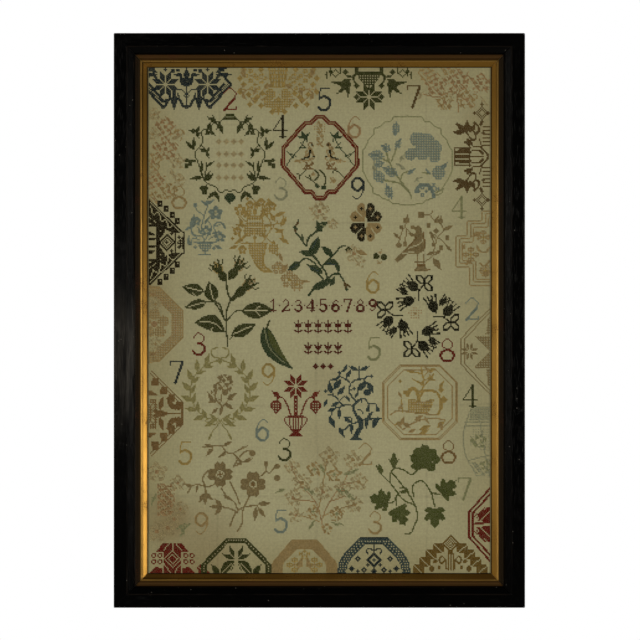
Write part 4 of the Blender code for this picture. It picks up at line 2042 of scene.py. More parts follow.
# Roses in bud over broad dark leaves with bare veins
ROSE_SPRAY: Parts = (
    *stems(
        Shade.GREEN, 1.4,
        ((-75, 31), (-74, 23), (-72, 16), (-75, 6), (-75, -8), (-74, -16), (-74, -21)),
    ),
    *stems(
        Shade.GREEN, 1.2, ((-76, 0), (-80, 8), (-85, 15), (-92, 20)), ((-84, 15), (-80, 12), (-77, 2)),
        ((-91, 15), (-86, 15)),
    ),
    *stems(
        Shade.GREEN, 1.2, ((-75, -1), (-71, 4), (-66, 8), (-61, 7)), ((-76, -9), (-81, -7)),
        ((-72, -15), (-68, -11)),
    ),
    Leaf(Shade.GREEN, (-93, 23), 166, 18, 10, vein=True),
    Leaf(Shade.GREEN, (-85, 15), 104, 17, 11, vein=True),
    Leaf(Shade.GREEN, (-91, 15), 195, 18, 8, vein=True),
    Leaf(Shade.GREEN, (-76, -9), 164, 26, 13, vein=True, curl=-4, blunt=0.9),
    Leaf(Shade.GREEN, (-63, 7.5), 2, 26, 13, vein=True, blunt=0.9),
    Leaf(Shade.GREEN, (-71, -12), 24, 22, 10, vein=True, teeth=5),
    *bars(
        None, 1, ((-52, 8), (-48, 11)), ((-52, 8), (-48, 4)), ((-86, -6), (-88, -10)),
        ((-99, 19), (-102, 22)),
    ),
    bud(Shade.GREEN, Shade.GOLD, (-75, 31), 122, 22),
    bud(Shade.GREEN, Shade.SAND, (-73, 33), 54, 24),
    Leaf(Shade.GREEN, (-72, 16), 36, 9, 4),
    bud(Shade.GREEN, Shade.SAND, (-68, 19), 42, 25),
)

# One large hanging leaf
BIG_LEAF: Parts = (
    *bars(Shade.GREEN, 1.4, ((-40, 0), (-43, -7))),
    Leaf(Shade.TEAL, (-45, -6), -54, 42, 13, curl=-4.5, blunt=0.62),
    Leaf(Shade.LEAF, (-41, -8), -58, 32, 5, curl=-2, blunt=0.7),
    *stems(Shade.SAGE, 1, ((-44, -8), (-42, -18), (-37, -26), (-28, -34))),
)

# A ring of bell flowers and open four-leafed clovers, four times the same, in black
CLOVER_RING: Parts = (Around(4, (
    *(hollow(Shade.JET, (5, 26.5), angle, 8.4, 5.4) for angle in (45, 135, -45)),
    *bars(Shade.JET, 1.2, ((5, 26), (0.5, 20), (0.5, 12.5))),
    bell(Shade.JET, (0, 21), 142, 15),
    bell(Shade.JET, (-3, 14), 200, 15),
    bell(Shade.JET, (-9, 17), 132, 10),
)), *rosettes(Shade.BLUSH, Shade.SAND, (-2, 2, 6), fill=Fill.SPARSE))

# A pale wreath of paired leaves with a ribbon loop at its head and its foot
PALE_WREATH: Parts = (
    Both(
        (
            *laurel(Shade.OLIVE, 24, -84, 62),
            *stems(Shade.OLIVE, 1.2, ((13, 21), (7, 23), (0, 26), (6, 28), (7, 33), (2, 35))),
        )
    ),
    Disc(Shade.OLIVE, (0, 24), 2),
    Both((
        *stems(
            Shade.OLIVE, 1, ((0, -24), (5, -21), (12, -24), (5, -27), (0, -24)),
            ((0, -25), (4, -30), (9, -37)),
        ),
        *leaves(Shade.OLIVE, 0.4, (7, -35, -60, 5)),
    )),
)

# A moss rose in taupe inside the pale wreath
MOSS_ROSE: Parts = (
    *spots(
        Shade.TAUPE, (-77, -48, 5), (-73, -50, 4), (-80, -53, 4), (-75, -55, 4.4), (-85, -57, 3),
        fill=Fill.WORN,
    ),
    *spots(Shade.TAUPE, (-72, -46, 2), (-80, -46, 2), (-84, -53, 1.6), (-76, -58, 2.4)),
    *leaves(
        Shade.TAUPE, 0.42, (-86, -65, 118, 8), (-74, -63, 32, 8), (-76, -67, -34, 8),
        (-79, -70, -100, 6),
    ),
    *leaves(Shade.TAUPE, 0.42, (-83, -64, 200, 7), (-82, -71, 220, 6)),
    *stems(
        Shade.TAUPE, 1.2, ((-79, -75), (-78, -70), (-83, -64), (-84, -58)),
        ((-78, -70), (-73, -64), (-70, -64)),
    ),
    *stems(Shade.TAUPE, 1, ((-80, -68), (-79, -62), (-78, -57)), ((-84, -66), (-80, -64))),
)

# A ribbed red urn with a star on a twisted stem and two hanging strawberries
RED_URN: Parts = (
    Star(Shade.RED, (0, -53), 9, 4),
    *bars(Shade.RED, 3, ((0, -62), (0, -76))),
    *diamonds(None, *((0, -64 - 3 * step, 0) for step in range(4))),
    *bars(Shade.RED, 2.4, ((-5.5, -77.5), (5.5, -77.5))),
    *bars(Shade.RED, 1, *(((a, -78), (a * 0.86, -87)) for a in (-5, -2.5, 0, 2.5, 5))),
    Patch(Shade.RED, ((-6, -87), (6, -87), (2.5, -90), (6.5, -93.5), (-6.5, -93.5), (-2.5, -90))),
    Both((
        *stems(Shade.RED, 1, ((6, -78), (8.5, -78), (9, -81), (7, -84), (5, -86))),
        *stems(Shade.RED, 1.2, ((4, -76), (7, -68), (10, -63), (13, -62), (16, -65))),
        Leaf(Shade.RED, (13, -62), 40, 8, 4),
        Patch(
            Shade.RED,
            ((12, -67), (14, -65), (18, -65), (20, -67), (19.5, -71), (16, -76), (12.5, -71)),
            fill=Fill.NET,
        ),
        *bars(
            Shade.RED, 1,
            (
                (12, -67), (14, -65), (18, -65), (20, -67), (19.5, -71), (16, -75), (12.5, -71),
                (12, -67),
            ),
        ),
    )),
)

# A twisted tree in blue teal with curling twigs, and leaves all round
BLUE_TREE: Parts = (
    *stems(Shade.BLUE, 4, ((29, -94), (31, -90), (33.5, -85), (32, -79))),
    *stems(Shade.BLUE, 2.2, ((32, -80), (28, -73), (28, -68), (31, -65))),
    *stems(
        Shade.BLUE, 1.2, ((31, -65), (36, -63), (40, -67), (45, -67), (47, -71)),
        ((30, -66), (26, -61), (24, -57), (25, -51)),
    ),
    *stems(
        Shade.BLUE, 1.2, ((25, -51), (29, -48), (36, -47), (39, -45), (43, -45)),
        ((25, -51), (22, -48), (16, -45), (14, -47)),
    ),
    *stems(
        Shade.BLUE, 1.2, ((28, -70), (24, -68), (19, -68), (16, -65), (12, -61), (7, -60)),
        ((20, -69), (12, -71), (9, -78)),
    ),
    *stems(
        Shade.BLUE, 1.2, ((31, -82), (25, -84), (20, -88), (16, -87)),
        ((33, -82), (36, -80), (41, -78)), ((36, -80), (47, -79)),
    ),
    *stems(
        Shade.BLUE, 1.2, ((36, -48), (38, -51)), ((40, -67), (39, -72)), ((22, -48), (23, -42)),
        ((16, -46), (17, -42), (20, -40)),
    ),
    *stems(
        Shade.BLUE, 1, ((31, -72), (34, -72), (35, -75)), ((16, -65), (20, -61), (23, -64)),
        ((32, -47), (32, -37)), ((24, -57), (28, -55)),
    ),
    *stems(
        Shade.BLUE, 1, ((12, -61), (10, -57), (8, -52)), ((26, -84), (26, -79), (20, -78)),
        ((33, -63), (34, -66)),
    ),
    Patch(Shade.BLUE, ((26, -94), (33, -94), (35, -96.5), (24, -96.5))),
    *leaves(
        Shade.BLUE, 0.52, (17, -48, 232, 10), (37, -50, 228, 10), (39, -50, -62, 9), (8, -78, -62, 9),
        (13, -71, 196, 7),
    ),
    *leaves(
        Shade.BLUE, 0.44, (9, -58, 98, 9), (15, -60, 52, 9), (16, -71, -90, 8), (10, -69, 30, 7),
        (6, -64, 250, 6),
    ),
    *leaves(
        Shade.BLUE, 0.44, (20, -78, -40, 8), (26, -83, -92, 8), (38, -79, -92, 8), (39, -78, 50, 6),
        (43, -86, 62, 9),
    ),
    *leaves(
        Shade.BLUE, 0.44, (44, -80, 12, 6), (31, -40, 160, 8), (33, -40, 20, 8), (20, -41, 68, 6),
        (22, -46, 62, 7),
    ),
    *leaves(
        Shade.BLUE, 0.44, (16, -87, -60, 8), (24, -65, 120, 5), (15, -47, 190, 6), (29, -62, 60, 5),
        (44, -86, 100, 5),
    ),
    *spots(
        Shade.BLUE, (38.5, -58, 2.8), (47, -72, 1.8), (39, -72, 1.8), (5, -57, 1.3), (28, -55, 1.3),
        (16, -42, 1.2), (42, -45, 1.2),
    ),
)

# A worn gold octagon of two lines round a resting animal between small trees
GOLD_SCENE: Parts = (
    *bars(Shade.SAND, 1, *(
        (
            (a, b - 15), (b - 15, a), (15 - b, a), (-a, b - 15), (-a, 15 - b), (15 - b, -a),
            (b - 15, -a), (a, 15 - b), (a, b - 15),
        )
        for a, b in ((30, 31), (29, 30.5), (26, 28))
    )),
    Patch(
        Shade.GOLD,
        ((-9, 3), (-9, -1), (-9, -8), (-3, -8), (7, -8), (10, -3), (12, 3), (7, 2), (1, 0), (-3, 2)),
        fill=Fill.NET,
    ),
    *stems(Shade.GOLD, 3, ((-10, 6), (-8, 10), (-5, 11), (-2, 8), (-1, 2))),
    *bars(Shade.SAND, 1, ((-6, -1), (8, 1)), ((-4, -4), (8, -3))),
    *stems(
        Shade.SAND, 1.2, ((-24, -10), (-17, -7), (0, -9), (14, -10)),
        ((-14, -22), (-4, -16), (8, -13), (20, -14)),
    ),
    *stems(Shade.GOLD, 2, ((15, -9), (17, -2), (15, 6), (11, 9), (3, 9), (1, 6)), ((17, -5), (19, 4))),
    *stems(Shade.GOLD, 1, ((-14, -8), (-15, 2)), ((-6, 19), (0, 16), (7, 19)), ((6, 16), (8, 22))),
    *spots(Shade.GOLD, (17, 10, 2.2), (20, 2, 2.2), (-16, 17, 1.2), (-12, 8, 1.6)),
    *leaves(
        Shade.GOLD, 0.45, (-14, -16, 200, 7), (8, -19, 200, 9), (14, -20, 40, 8), (0, -25, 20, 8),
        (16, 12, 60, 6),
    ),
    *leaves(
        Shade.SAND, 0.45, (-13, -12, 250, 7), (-8, -20, 150, 8), (-15, 4, 120, 5), (-17, -6, 60, 6),
        (9, 24, 140, 7),
    ),
    *stems(
        Shade.GOLD, 1.2, ((-2, 6), (3, 13), (2, 22), (-4, 24)), ((3, 13), (8, 18), (12, 18)),
        ((2, 20), (7, 25)),
    ),
    *leaves(
        Shade.GOLD, 0.46, (-4, 24, 170, 6), (2, 22, 100, 6), (7, 25, 20, 6), (8, 18, 60, 6),
        (3, 14, 150, 6),
    ),
    *leaves(
        Shade.SAND, 0.46, (-4, -14, 30, 7), (4, -12, -60, 6), (16, -16, -70, 7), (-18, -16, -60, 6),
        (-4, -22, 200, 6),
    ),
)

# A briar in taupe: two flowers of four square petals on arching stems with leaves and buds
BRIAR: Parts = (
    *(
        Placed(spot, (
            Around(4, (
                Patch(
                    Shade.TAUPE,
                    (
                        (1, 0), (3, 4.4), (8, 4.8), (10.4, 2.6), (9, 0), (10.4, -2.6), (8, -4.8),
                        (3, -4.4),
                    ),
                ),
                *bars(None, 1, ((2, 2), (3, 0), (2, -2))),
            )),
            *spots(Shade.ROSEWOOD, (0, 0, 1.4)),
        ))
        for spot in ((-80, -124), (-53.5, -132))
    ),
    *stems(
        Shade.TAUPE, 1.4, ((-66, -170), (-62, -163), (-62, -155), (-60, -149), (-56, -141)),
        ((-72, -166), (-69, -158), (-66, -153)),
    ),
    *stems(
        Shade.TAUPE, 1.2, ((-66, -153), (-68, -147), (-75, -141), (-79, -135)),
        ((-66, -153), (-59, -150), (-50, -149)),
    ),
    *stems(
        Shade.TAUPE, 1.2, ((-64, -148), (-68, -138), (-72, -130)),
        ((-66, -155), (-71, -152), (-79, -150)),
    ),
    *stems(
        Shade.TAUPE, 1.2, ((-84, -132), (-91, -134), (-98, -132), (-103, -134), (-106, -139)),
        ((-92, -133), (-94, -127), (-90, -121)),
    ),
    *stems(
        Shade.TAUPE, 1.2, ((-92, -134), (-91, -141)), ((-50, -150), (-44, -158)),
        ((-48, -126), (-43, -122), (-40, -123), (-35, -117)),
    ),
    *stems(
        Shade.TAUPE, 1.2,
        ((-94, -102), (-86, -101), (-79, -101), (-75, -106), (-70, -107), (-62, -103)),
        ((-43, -122), (-43, -117)),
    ),
    *stems(
        Shade.TAUPE, 1.2, ((-70, -107), (-66, -111), (-69, -118)),
        ((-66, -112), (-60, -106), (-55, -105)), ((-66, -115), (-60, -114)),
    ),
    *leaves(
        Shade.TAUPE, 0.44, (-92, -139, 238, 9), (-92, -139, -90, 9), (-92, -139, -44, 8),
        (-103, -133, 168, 6), (-98, -133, -100, 5),
    ),
    *leaves(
        Shade.TAUPE, 0.44, (-79, -150, 128, 8), (-79, -150, 180, 9), (-79, -150, 234, 8),
        (-49, -148, 4, 9), (-51, -151, -96, 10),
    ),
    *leaves(
        Shade.TAUPE, 0.4, (-49, -151, -54, 9), (-77, -141, -30, 7), (-86, -102, 160, 7),
        (-77, -101, 30, 7), (-75, -106, 214, 7),
    ),
    *leaves(
        Shade.TAUPE, 0.44, (-62, -114, 150, 6), (-62, -114, 210, 6), (-61, -114, 20, 8),
        (-86, -103, 230, 8), (-63, -103, 20, 5),
    ),
    *spots(
        Shade.TAUPE, (-54, -107, 2.4), (-43, -115.5, 2), (-34, -117.5, 2.1), (-34, -127, 2.3),
        (-105, -133, 1.8),
    ),
)

# A bouquet so worn that only traces are left
TRACES: Parts = (
    *stems(
        Shade.BLUSH, 1, ((4, -171), (1, -158), (-3, -146), (-14, -134)),
        ((2, -160), (8, -146), (18, -132), (26, -118)),
    ),
    *stems(
        Shade.SAND, 1, ((0, -150), (2, -136), (6, -112)), ((3, -158), (16, -152), (30, -148)),
        ((0, -162), (-18, -156)),
    ),
    *stems(
        Shade.BLUSH, 1, ((-14, -134), (-22, -120)), ((18, -132), (32, -130)), ((-3, -146), (-22, -144)),
        ((8, -146), (20, -142)),
    ),
    *rosettes(
        Shade.CREAM, Shade.SAND, (8, -110, 9), (27, -112, 8), (32, -130, 8), (28, -148, 8),
        (-14, -131, 9), fill=Fill.WORN,
    ),
    *rosettes(
        Shade.CREAM, Shade.BLUSH, (-22, -118, 7), (-21, -143, 8), (-19, -157, 7), (3, -138, 8),
        (19, -136, 8), fill=Fill.WORN,
    ),
    *rosettes(
        Shade.SAND, Shade.SAGE, (14, -156, 7), (-5, -154, 6), (12, -124, 7), (-4, -120, 7),
        (6, -168, 5), fill=Fill.WORN,
    ),
    *leaves(
        Shade.SAGE, 0.4, (20, -124, 20, 12), (-8, -168, 60, 8), (4, -124, 110, 9), (14, -136, -20, 12),
        fill=Fill.WORN,
    ),
    *leaves(
        Shade.SAGE, 0.4, (-28, -136, 200, 8), (-4, -140, 150, 10), (22, -140, -30, 9),
        (10, -163, -10, 9), fill=Fill.WORN,
    ),
)

# A vine with lobed leaves, curling stems and two buds
VINE: Parts = (
    *stems(
        Shade.LEAF, 1.2,
        (
            (69, -172), (74, -171), (77, -164), (79, -158), (77, -149), (72, -140), (63, -128),
            (58, -122), (61, -118),
        ),
    ),
    *stems(
        Shade.LEAF, 1.2, ((77, -149), (67, -144), (61, -136), (57, -131), (51, -125)),
        ((57, -131), (57, -124), (60, -119)),
    ),
    *stems(
        Shade.LEAF, 1.2, ((71, -136), (64, -139), (60, -146), (56, -147)),
        ((72, -140), (70, -135), (65, -135)), ((62, -142), (62, -149)),
    ),
    *stems(
        Shade.LEAF, 1.2, ((76, -142), (75, -134), (79, -130), (84, -130), (90, -139), (93, -150)),
        ((90, -139), (97, -140)),
    ),
    *stems(Shade.LEAF, 1.2, ((61, -119), (67, -120), (74, -124), (79, -121)), ((66, -139), (71, -138))),
    lobed(Shade.LEAF, (58, -147), 165, 18),
    lobed(Shade.LEAF, (61, -149), -62, 18),
    lobed(Shade.LEAF, (84, -122), 92, 22),
    lobed(Shade.LEAF, (96, -141), 40, 18),
    lobed(Shade.LEAF, (93, -149), -90, 18),
    *spots(
        Shade.LEAF, (77, -112, 3.6), (79, -106, 3.6), (85, -104, 3.8), (91, -107, 3.8), (94, -112, 3.6),
        (90, -118, 3.8),
    ),
    *spots(Shade.LEAF, (84, -112, 6), (79, -118, 3)),
    *leaves(
        Shade.LEAF, 0.42, (60, -119, 90, 13), (50, -124, 102, 9), (60, -116, 44, 6), (60, -116, 136, 6),
        (50, -121, 140, 6),
    ),
)


# Borders that open each line of the middle, and the numerals of the field


def repeat(half_width: int, step: int, parts: Parts) -> Parts:
    """A short band of one small repeat round the middle line."""
    return tuple(Placed((across, 0), parts) for across in range(-half_width, half_width + 1, step))


def figure_row(shade: Shade, half_width: int, digits: str) -> Parts:
    """A row of small plain numerals, evenly spread."""
    step = 2 * half_width / (len(digits) - 1)
    return tuple(
        Numeral(shade, int(one), (index * step - half_width, 0), 9.0, 0.8) for index,
        one in enumerate(digits)
    )


@dataclass(frozen=True)
class Spot:
    """A motif and the place of its origin on the cloth, in stitches from the middle."""

    parts: Parts
    column: float = 0.0
    row: float = 0.0


def layout() -> tuple[Spot, ...]:
    """Put every motif in its place.

    Returns:
        The motifs in the order in which they are stitched.
    """
    edges = (
        Spot(NAVY_HALF, -107), Spot(BASKET_HALF, -33.5), Spot(GREEN_HALF, 40), Spot(BLUSH_TOP),
        Spot(BLUSH_SIDE),
        Spot(SCROLL_HALF, 137, 132), Spot(DARK_HALF, -138, 62.5), Spot(STEPPED_HALF, 137, 60),
        Spot(PALE_HALF, -139, -3), Spot(ROSEWOOD_HALF, -138.5, -75), Spot(TAUPE_HALF, 139, -25),
        Spot(MIST_HALF, 138, -97), Spot(BLUSH_LOW), Spot(RED_SIDE, 137, -164.5), Spot(RED_FOOT, -118.5),
        Spot(GREEN_FOOT, -67), Spot(GOLD_FOOT, -12), Spot(BLUE_FOOT, 44), Spot(OCHRE_FOOT, 105.5),
    )
    field = (
        Spot(WREATH, -72), Spot(RED_RING, 0.5), Spot(RING_BIRDS, 0.5), Spot(SKY_RING, 71),
        Spot(FLOWER_POT), Spot(HORN),
        Spot(BINDWEED), Spot(BUTTERFLY), Spot(FOUR_SPOTS), Spot(URN_BIRD), Spot(ROSE_SPRAY), Spot(BIG_LEAF),
        Spot(CLOVER_RING, 79.5, 3.5), Spot(PALE_WREATH, -80, -57), Spot(MOSS_ROSE), Spot(RED_URN, -19),
        Spot(BLUE_TREE), Spot(GOLD_SCENE, 81, -66), Spot(TRACES), Spot(BRIAR), Spot(VINE),
    )
    numerals = tuple(
        Spot((Numeral(shade, digit),), column, row)
        for shade, digit, column, row in (
            (Shade.RED, 2, -72, 178), (Shade.NAVY, 5, 4, 178), (Shade.UMBER, 7, 76, 180),
            (Shade.BROWN, 4, -32, 156),
            (Shade.BLUSH, 6, 28, 156), (Shade.MIST, 3, -31, 106), (Shade.NAVY, 9, 31, 106),
            (Shade.SAND, 8, -113, 99),
            (Shade.SAGE, 4, 112, 91), (Shade.GOLD, 6, 43, 31), (Shade.SKY, 2, 123, 9),
            (Shade.RED, 3, -97, -19),
            (Shade.SAGE, 5, 44, -23), (Shade.RED, 8, 103, -24), (Shade.NAVY, 7, -115, -42),
            (Shade.GOLD, 9, -41, -44),
            (Shade.GREEN, 4, 121, -61), (Shade.SKY, 6, -46, -88), (Shade.GREEN, 3, -28, -104),
            (Shade.GOLD, 5, -108, -107), (Shade.SAND, 2, 37, -108), (Shade.ROSEWOOD, 8, 104, -106),
            (Shade.SAGE, 7, 117, -136), (Shade.SAND, 9, -95, -164), (Shade.SKY, 5, -31, -162),
            (Shade.SAND, 3, 45, -163),
        )
    )
    bands = (
        Spot(figure_row(Shade.MAROON, 40, "123456789"), 3, 12),
        Spot(repeat(35, 10, diamonds(Shade.MAROON, (0, 0, 0))), 3, 12),
        Spot(repeat(20, 8, (tulip(Shade.MAROON, (0, -5), 10),)), 3, -5),
        Spot(repeat(12, 8, (tulip(Shade.MAROON, (0, -5), 9),)), 3, -22),
        Spot(repeat(6, 6, diamonds(Shade.MAROON, (0, 0, 2))), 3, -37),
        *(Spot(repeat(9, 6, diamonds(Shade.CREAM, (0, 0, 2))), -72, row) for row in (144, 134, 125, 115)),
    )
    return edges + field + numerals + bands


# How many crossings lie on each side of the chart's middle
HALF_COLUMNS = 137
HALF_ROWS = 203


def stitch_sampler() -> Chart:
    """Stitch the whole chart.

    Returns:
        The finished chart.
    """
    chart = Chart(HALF_COLUMNS, HALF_ROWS)
    for spot in layout():
        needle = Needle(chart, spot.column, spot.row)
        for part in spot.parts:
            part.stitch(needle)
    return chart


# Cloth, stitches and frame


@dataclass(frozen=True)
class Crease:
    """A soft line where the cloth was once folded, upright or level."""

    upright: bool
    place: float
    depth: float
    reach: float = 0.0035


CREASES = (
    Crease(False, 0.0940, 0.00010), Crease(False, 0.0165, 0.00018), Crease(False, -0.0820, 0.00012),
    Crease(False, -0.1700, 0.00010), Crease(True, -0.0030, 0.00014), Crease(True, 0.1040, 0.00008),
    Crease(True, -0.0980, 0.00008),
)


@dataclass(frozen=True)
class Relief:
    """How far the stretched cloth stands forward of its flat place: soft puckers and old creases."""

    sizes: Sizes

    def stand(self, across: np.ndarray, up: np.ndarray) -> np.ndarray:
        """Find the cloth's stand at some places.

        Args:
            across: Places to the right of the middle, in metres.
            up: Places above the middle, in metres.

        Returns:
            Metres forward of the flat cloth.
        """
        wide = np.clip(across / self.sizes.sight_half_width, -1.0, 1.0)
        high = np.clip(up / self.sizes.sight_half_height, -1.0, 1.0)
        window = (1.0 - wide**4) * (1.0 - high**4)
        long_fold = np.exp(-(((high - 0.06) / 0.09) ** 2))
        low_fold = 0.7 * np.exp(-(((high + 0.52 + 0.05 * wide) / 0.08) ** 2))
        upright_fold = 0.6 * np.exp(-(((wide + 0.04) / 0.12) ** 2))
        slack = 0.35 + 0.25 * np.sin(2.1 * wide + 1.3) * np.cos(2.6 * high - 0.4)
        folds = long_fold + low_fold + upright_fold
        stand = self.sizes.pucker * np.minimum(1.0, slack + 0.4 * folds)
        for crease in CREASES:
            along = across if crease.upright else up
            stand = stand - crease.depth * np.exp(-(((along - crease.place) / crease.reach) ** 2))
        return window * stand


def flat_uv(mesh: bpy.types.Mesh, points: np.ndarray, corners: np.ndarray, sizes: Sizes) -> None:
    """Give a mesh the flat map named OFBake: the cloth seen from the front.

    Args:
        mesh: The mesh.
        points: Its points, one row each.
        corners: The point of each face corner.
        sizes: The frame's sizes.
    """
    across = points[corners, 0] / (2.0 * sizes.cloth_half_width) + 0.5
    up = points[corners, 2] / (2.0 * sizes.cloth_half_height) + 0.5
    layer = mesh.uv_layers.new(name="OFBake")
    layer.data.foreach_set("uv", np.column_stack([across, up]).astype(np.float32).ravel())


def make_mesh(name: str, points: np.ndarray, faces: list[np.ndarray], sizes: Sizes) -> bpy.types.Object:
    """Make a smooth-shaded piece from arrays of points and faces.

    Args:
        name: The piece's name.
        points: Places of the points, one row each.
        faces: Arrays of faces, each with one count of corners.
        sizes: The frame's sizes.

    Returns:
        The piece, linked to the scene.
    """
    mesh = bpy.data.meshes.new(name)
    corners = np.concatenate([block.ravel() for block in faces]).astype(np.int32)
    counts = np.concatenate([np.full(len(block), block.shape[1]) for block in faces])
    starts = np.concatenate([[0], np.cumsum(counts)[:-1]]).astype(np.int32)
    mesh.vertices.add(len(points))
    mesh.vertices.foreach_set("co", points.astype(np.float32).ravel())
    mesh.loops.add(len(corners))
    mesh.loops.foreach_set("vertex_index", corners)
    mesh.polygons.add(len(counts))
    mesh.polygons.foreach_set("loop_start", starts)
    mesh.update(calc_edges=True)
    flat_uv(mesh, points, corners, sizes)
    mesh.shade_smooth()
    piece = bpy.data.objects.new(name, mesh)
    bpy.context.scene.collection.objects.link(piece)
    return piece


@dataclass
class LinenSheet:
    """The stretched linen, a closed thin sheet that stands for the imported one."""

    sizes: Sizes
    relief: Relief
    cell: float = 0.0030

    def build(self) -> bpy.types.Object:
        """Make the sheet.

        Returns:
            The sheet.
        """
        sizes = self.sizes
        columns = round(2.0 * sizes.cloth_half_width / self.cell)
        rows = round(2.0 * sizes.cloth_half_height / self.cell)
        across, up = np.meshgrid(
            np.linspace(-sizes.cloth_half_width, sizes.cloth_half_width, columns + 1),
            np.linspace(-sizes.cloth_half_height, sizes.cloth_half_height, rows + 1),
        )
        stand = self.relief.stand(across, up)
        layers = [
            np.stack([across, -(base + stand), up], axis=-1).reshape(-1, 3)
            for base in (sizes.cloth_back, sizes.cloth_front)
        ]
        points = np.vstack(layers)
        count = (columns + 1) * (rows + 1)
        number = np.arange(count).reshape(rows + 1, columns + 1)
        quads = np.stack([number[:-1, :-1], number[:-1, 1:], number[1:, 1:], number[1:, :-1]], axis=-1)
        front = quads.reshape(-1, 4) + count
        back = quads.reshape(-1, 4)[:, ::-1]
        rim = np.concatenate([number[0, :-1], number[:-1, -1], number[-1, :0:-1], number[:0:-1, 0]])
        after = np.roll(rim, -1)
        edge = np.column_stack([rim, after, after + count, rim + count])
        return make_mesh("linen_ground", points, [front, back, edge], sizes)


@dataclass
class StitchWork:
    """The cross stitch: two crossed strands at each marked crossing, one mesh for each thread."""

    sizes: Sizes
    relief: Relief
    chart: Chart
    reach: float = 0.00062
    radius: float = 0.00038
    under_height: float = 0.00014
    over_height: float = 0.00036
    tip_height: float = -0.00012
    shoulder: float = 0.56
    wander: float = 0.00006
    uneven: float = 0.12
    seed: int = 11
    sides: int = 3

    def strands(
        self, places: np.ndarray, lean: float, height: float, chance: np.random.Generator
    ) -> np.ndarray:
        """Points of one strand of each cross: a tip, two rings and a tip.

        Args:
            places: Middles of the crosses, in metres across and up.
            lean: 1 for a strand that rises to the right, -1 for one that rises to the left.
            height: How far the strand's middle stands off the cloth.
            chance: The source of unevenness.

        Returns:
            Points in order, for each cross.
        """
        count = len(places)
        middle = places + chance.uniform(-self.wander, self.wander, (count, 2))
        along = np.array([lean, 1.0]) * self.reach
        beside = np.array([-1.0, lean]) / math.sqrt(2.0)
        radius = self.radius * chance.uniform(1.0 - self.uneven, 1.0 + self.uneven, count)
        base = self.sizes.cloth_front + self.relief.stand(places[:, 0], places[:, 1])
        points = []
        for share, rise, size in (
            (-1.0, self.tip_height, 0.0), (-self.shoulder, height, 1.0), (self.shoulder, height, 1.0),
            (1.0, self.tip_height, 0.0),
        ):
            for side in range(self.sides if size else 1):
                angle = 2.0 * math.pi * side / self.sides + math.pi / 2.0
                flat = middle + share * along + np.outer(radius * size * math.cos(angle), beside)
                forward = base + rise + radius * size * 0.8 * math.sin(angle)
                points.append(np.column_stack([flat[:, 0], -forward, flat[:, 1]]))
        return np.stack(points, axis=1)

    def strand_faces(self) -> tuple[np.ndarray, np.ndarray]:
        """Faces of one strand: the triangles at its tips and the quads between its rings.

        Returns:
            The triangles and the quads.
        """
        last = 1 + 2 * self.sides
        triangles, quads = [], []
        for side in range(self.sides):
            after = (side + 1) % self.sides
            near, near_after = 1 + side, 1 + after
            far, far_after = near + self.sides, near_after + self.sides
            triangles += [(0, near_after, near), (last, far, far_after)]
            quads.append((near, near_after, far_after, far))
        return np.array(triangles), np.array(quads)

    def stitches(self, shade: Shade, chance: np.random.Generator) -> bpy.types.Object | None:
        """Make all crosses of one thread.

        Args:
            shade: The thread.
            chance: The source of unevenness.

        Returns:
            The mesh, or None where the thread isn't used.
        """
        rows, columns = np.nonzero(self.chart.cells == NUMBER[shade])
        if not len(rows):
            return None
        counted = np.column_stack([columns - self.chart.half_columns, rows - self.chart.half_rows])
        places = counted * self.sizes.stitch
        under = self.strands(places, 1.0, self.under_height, chance)
        over = self.strands(places, -1.0, self.over_height, chance)
        points = np.concatenate([under, over]).reshape(-1, 3)
        triangles, quads = self.strand_faces()
        starts = np.arange(2 * len(places))[:, None, None] * under.shape[1]
        faces = [(starts + block).reshape(-1, block.shape[1]) for block in (triangles, quads)]
        return make_mesh("stitches_" + shade.name.lower(), points, faces, self.sizes)

    def build(self) -> dict[Shade, bpy.types.Object]:
        """Make the stitches of every thread that the chart uses.

        Returns:
            The meshes by thread.
        """
        chance = np.random.default_rng(self.seed)
        made = {shade: self.stitches(shade, chance) for shade in Shade}
        return {shade: piece for shade, piece in made.items() if piece is not None}


@dataclass
class ClothWork:
    """The linen with its stitches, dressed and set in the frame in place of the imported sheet."""

    sizes: Sizes

    def build(self) -> None:
        relief = Relief(self.sizes)
        linen = LinenSheet(self.sizes, relief).build()
        linen.data.materials.append(LinenFinish(self.sizes).build())
        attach(linen, "root")
        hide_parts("linen")
        chart = stitch_sampler()
        work = StitchWork(self.sizes, relief, chart).build()
        for shade, piece in work.items():
            piece.data.materials.append(ThreadFinish(shade, self.sizes.stitch).build())
            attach(piece, "root")
            LOG.info("%s: %d faces", piece.name, len(piece.data.polygons))
        LOG.info("linen and %d threads, %d crosses", len(work), int((chart.cells != EMPTY).sum()))


@dataclass
class FrameWork:
    """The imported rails, slip and backboard, each with its own finish."""

    sizes: Sizes
    nodes: dict[str, bpy.types.Object]

    def dress(self) -> None:
        """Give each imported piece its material."""
        level = EbonisedFinish(self.sizes, upright=False).build()
        upright = EbonisedFinish(self.sizes, upright=True).build()
        # The left rail's worn finish carries a painted sheen as well as wear
        worn = EbonisedFinish(self.sizes, upright=True, worn=True).build()
        gilt = GiltFinish(self.sizes, upright=False).build()
        gilt_upright = GiltFinish(self.sizes, upright=True).build()
        finishes = {
            "rail_top": level, "rail_bottom": level, "rail_right": upright, "rail_left": worn,
            "slip_top": gilt, "slip_bottom": gilt, "slip_left": gilt_upright, "slip_right": gilt_upright,
            "backboard": BoardFinish().build(),
        }
        for name, material in finishes.items():
            self.nodes[name].material_slots[0].material = material
            LOG.info("%s: %s", name, material.name)


# Studio


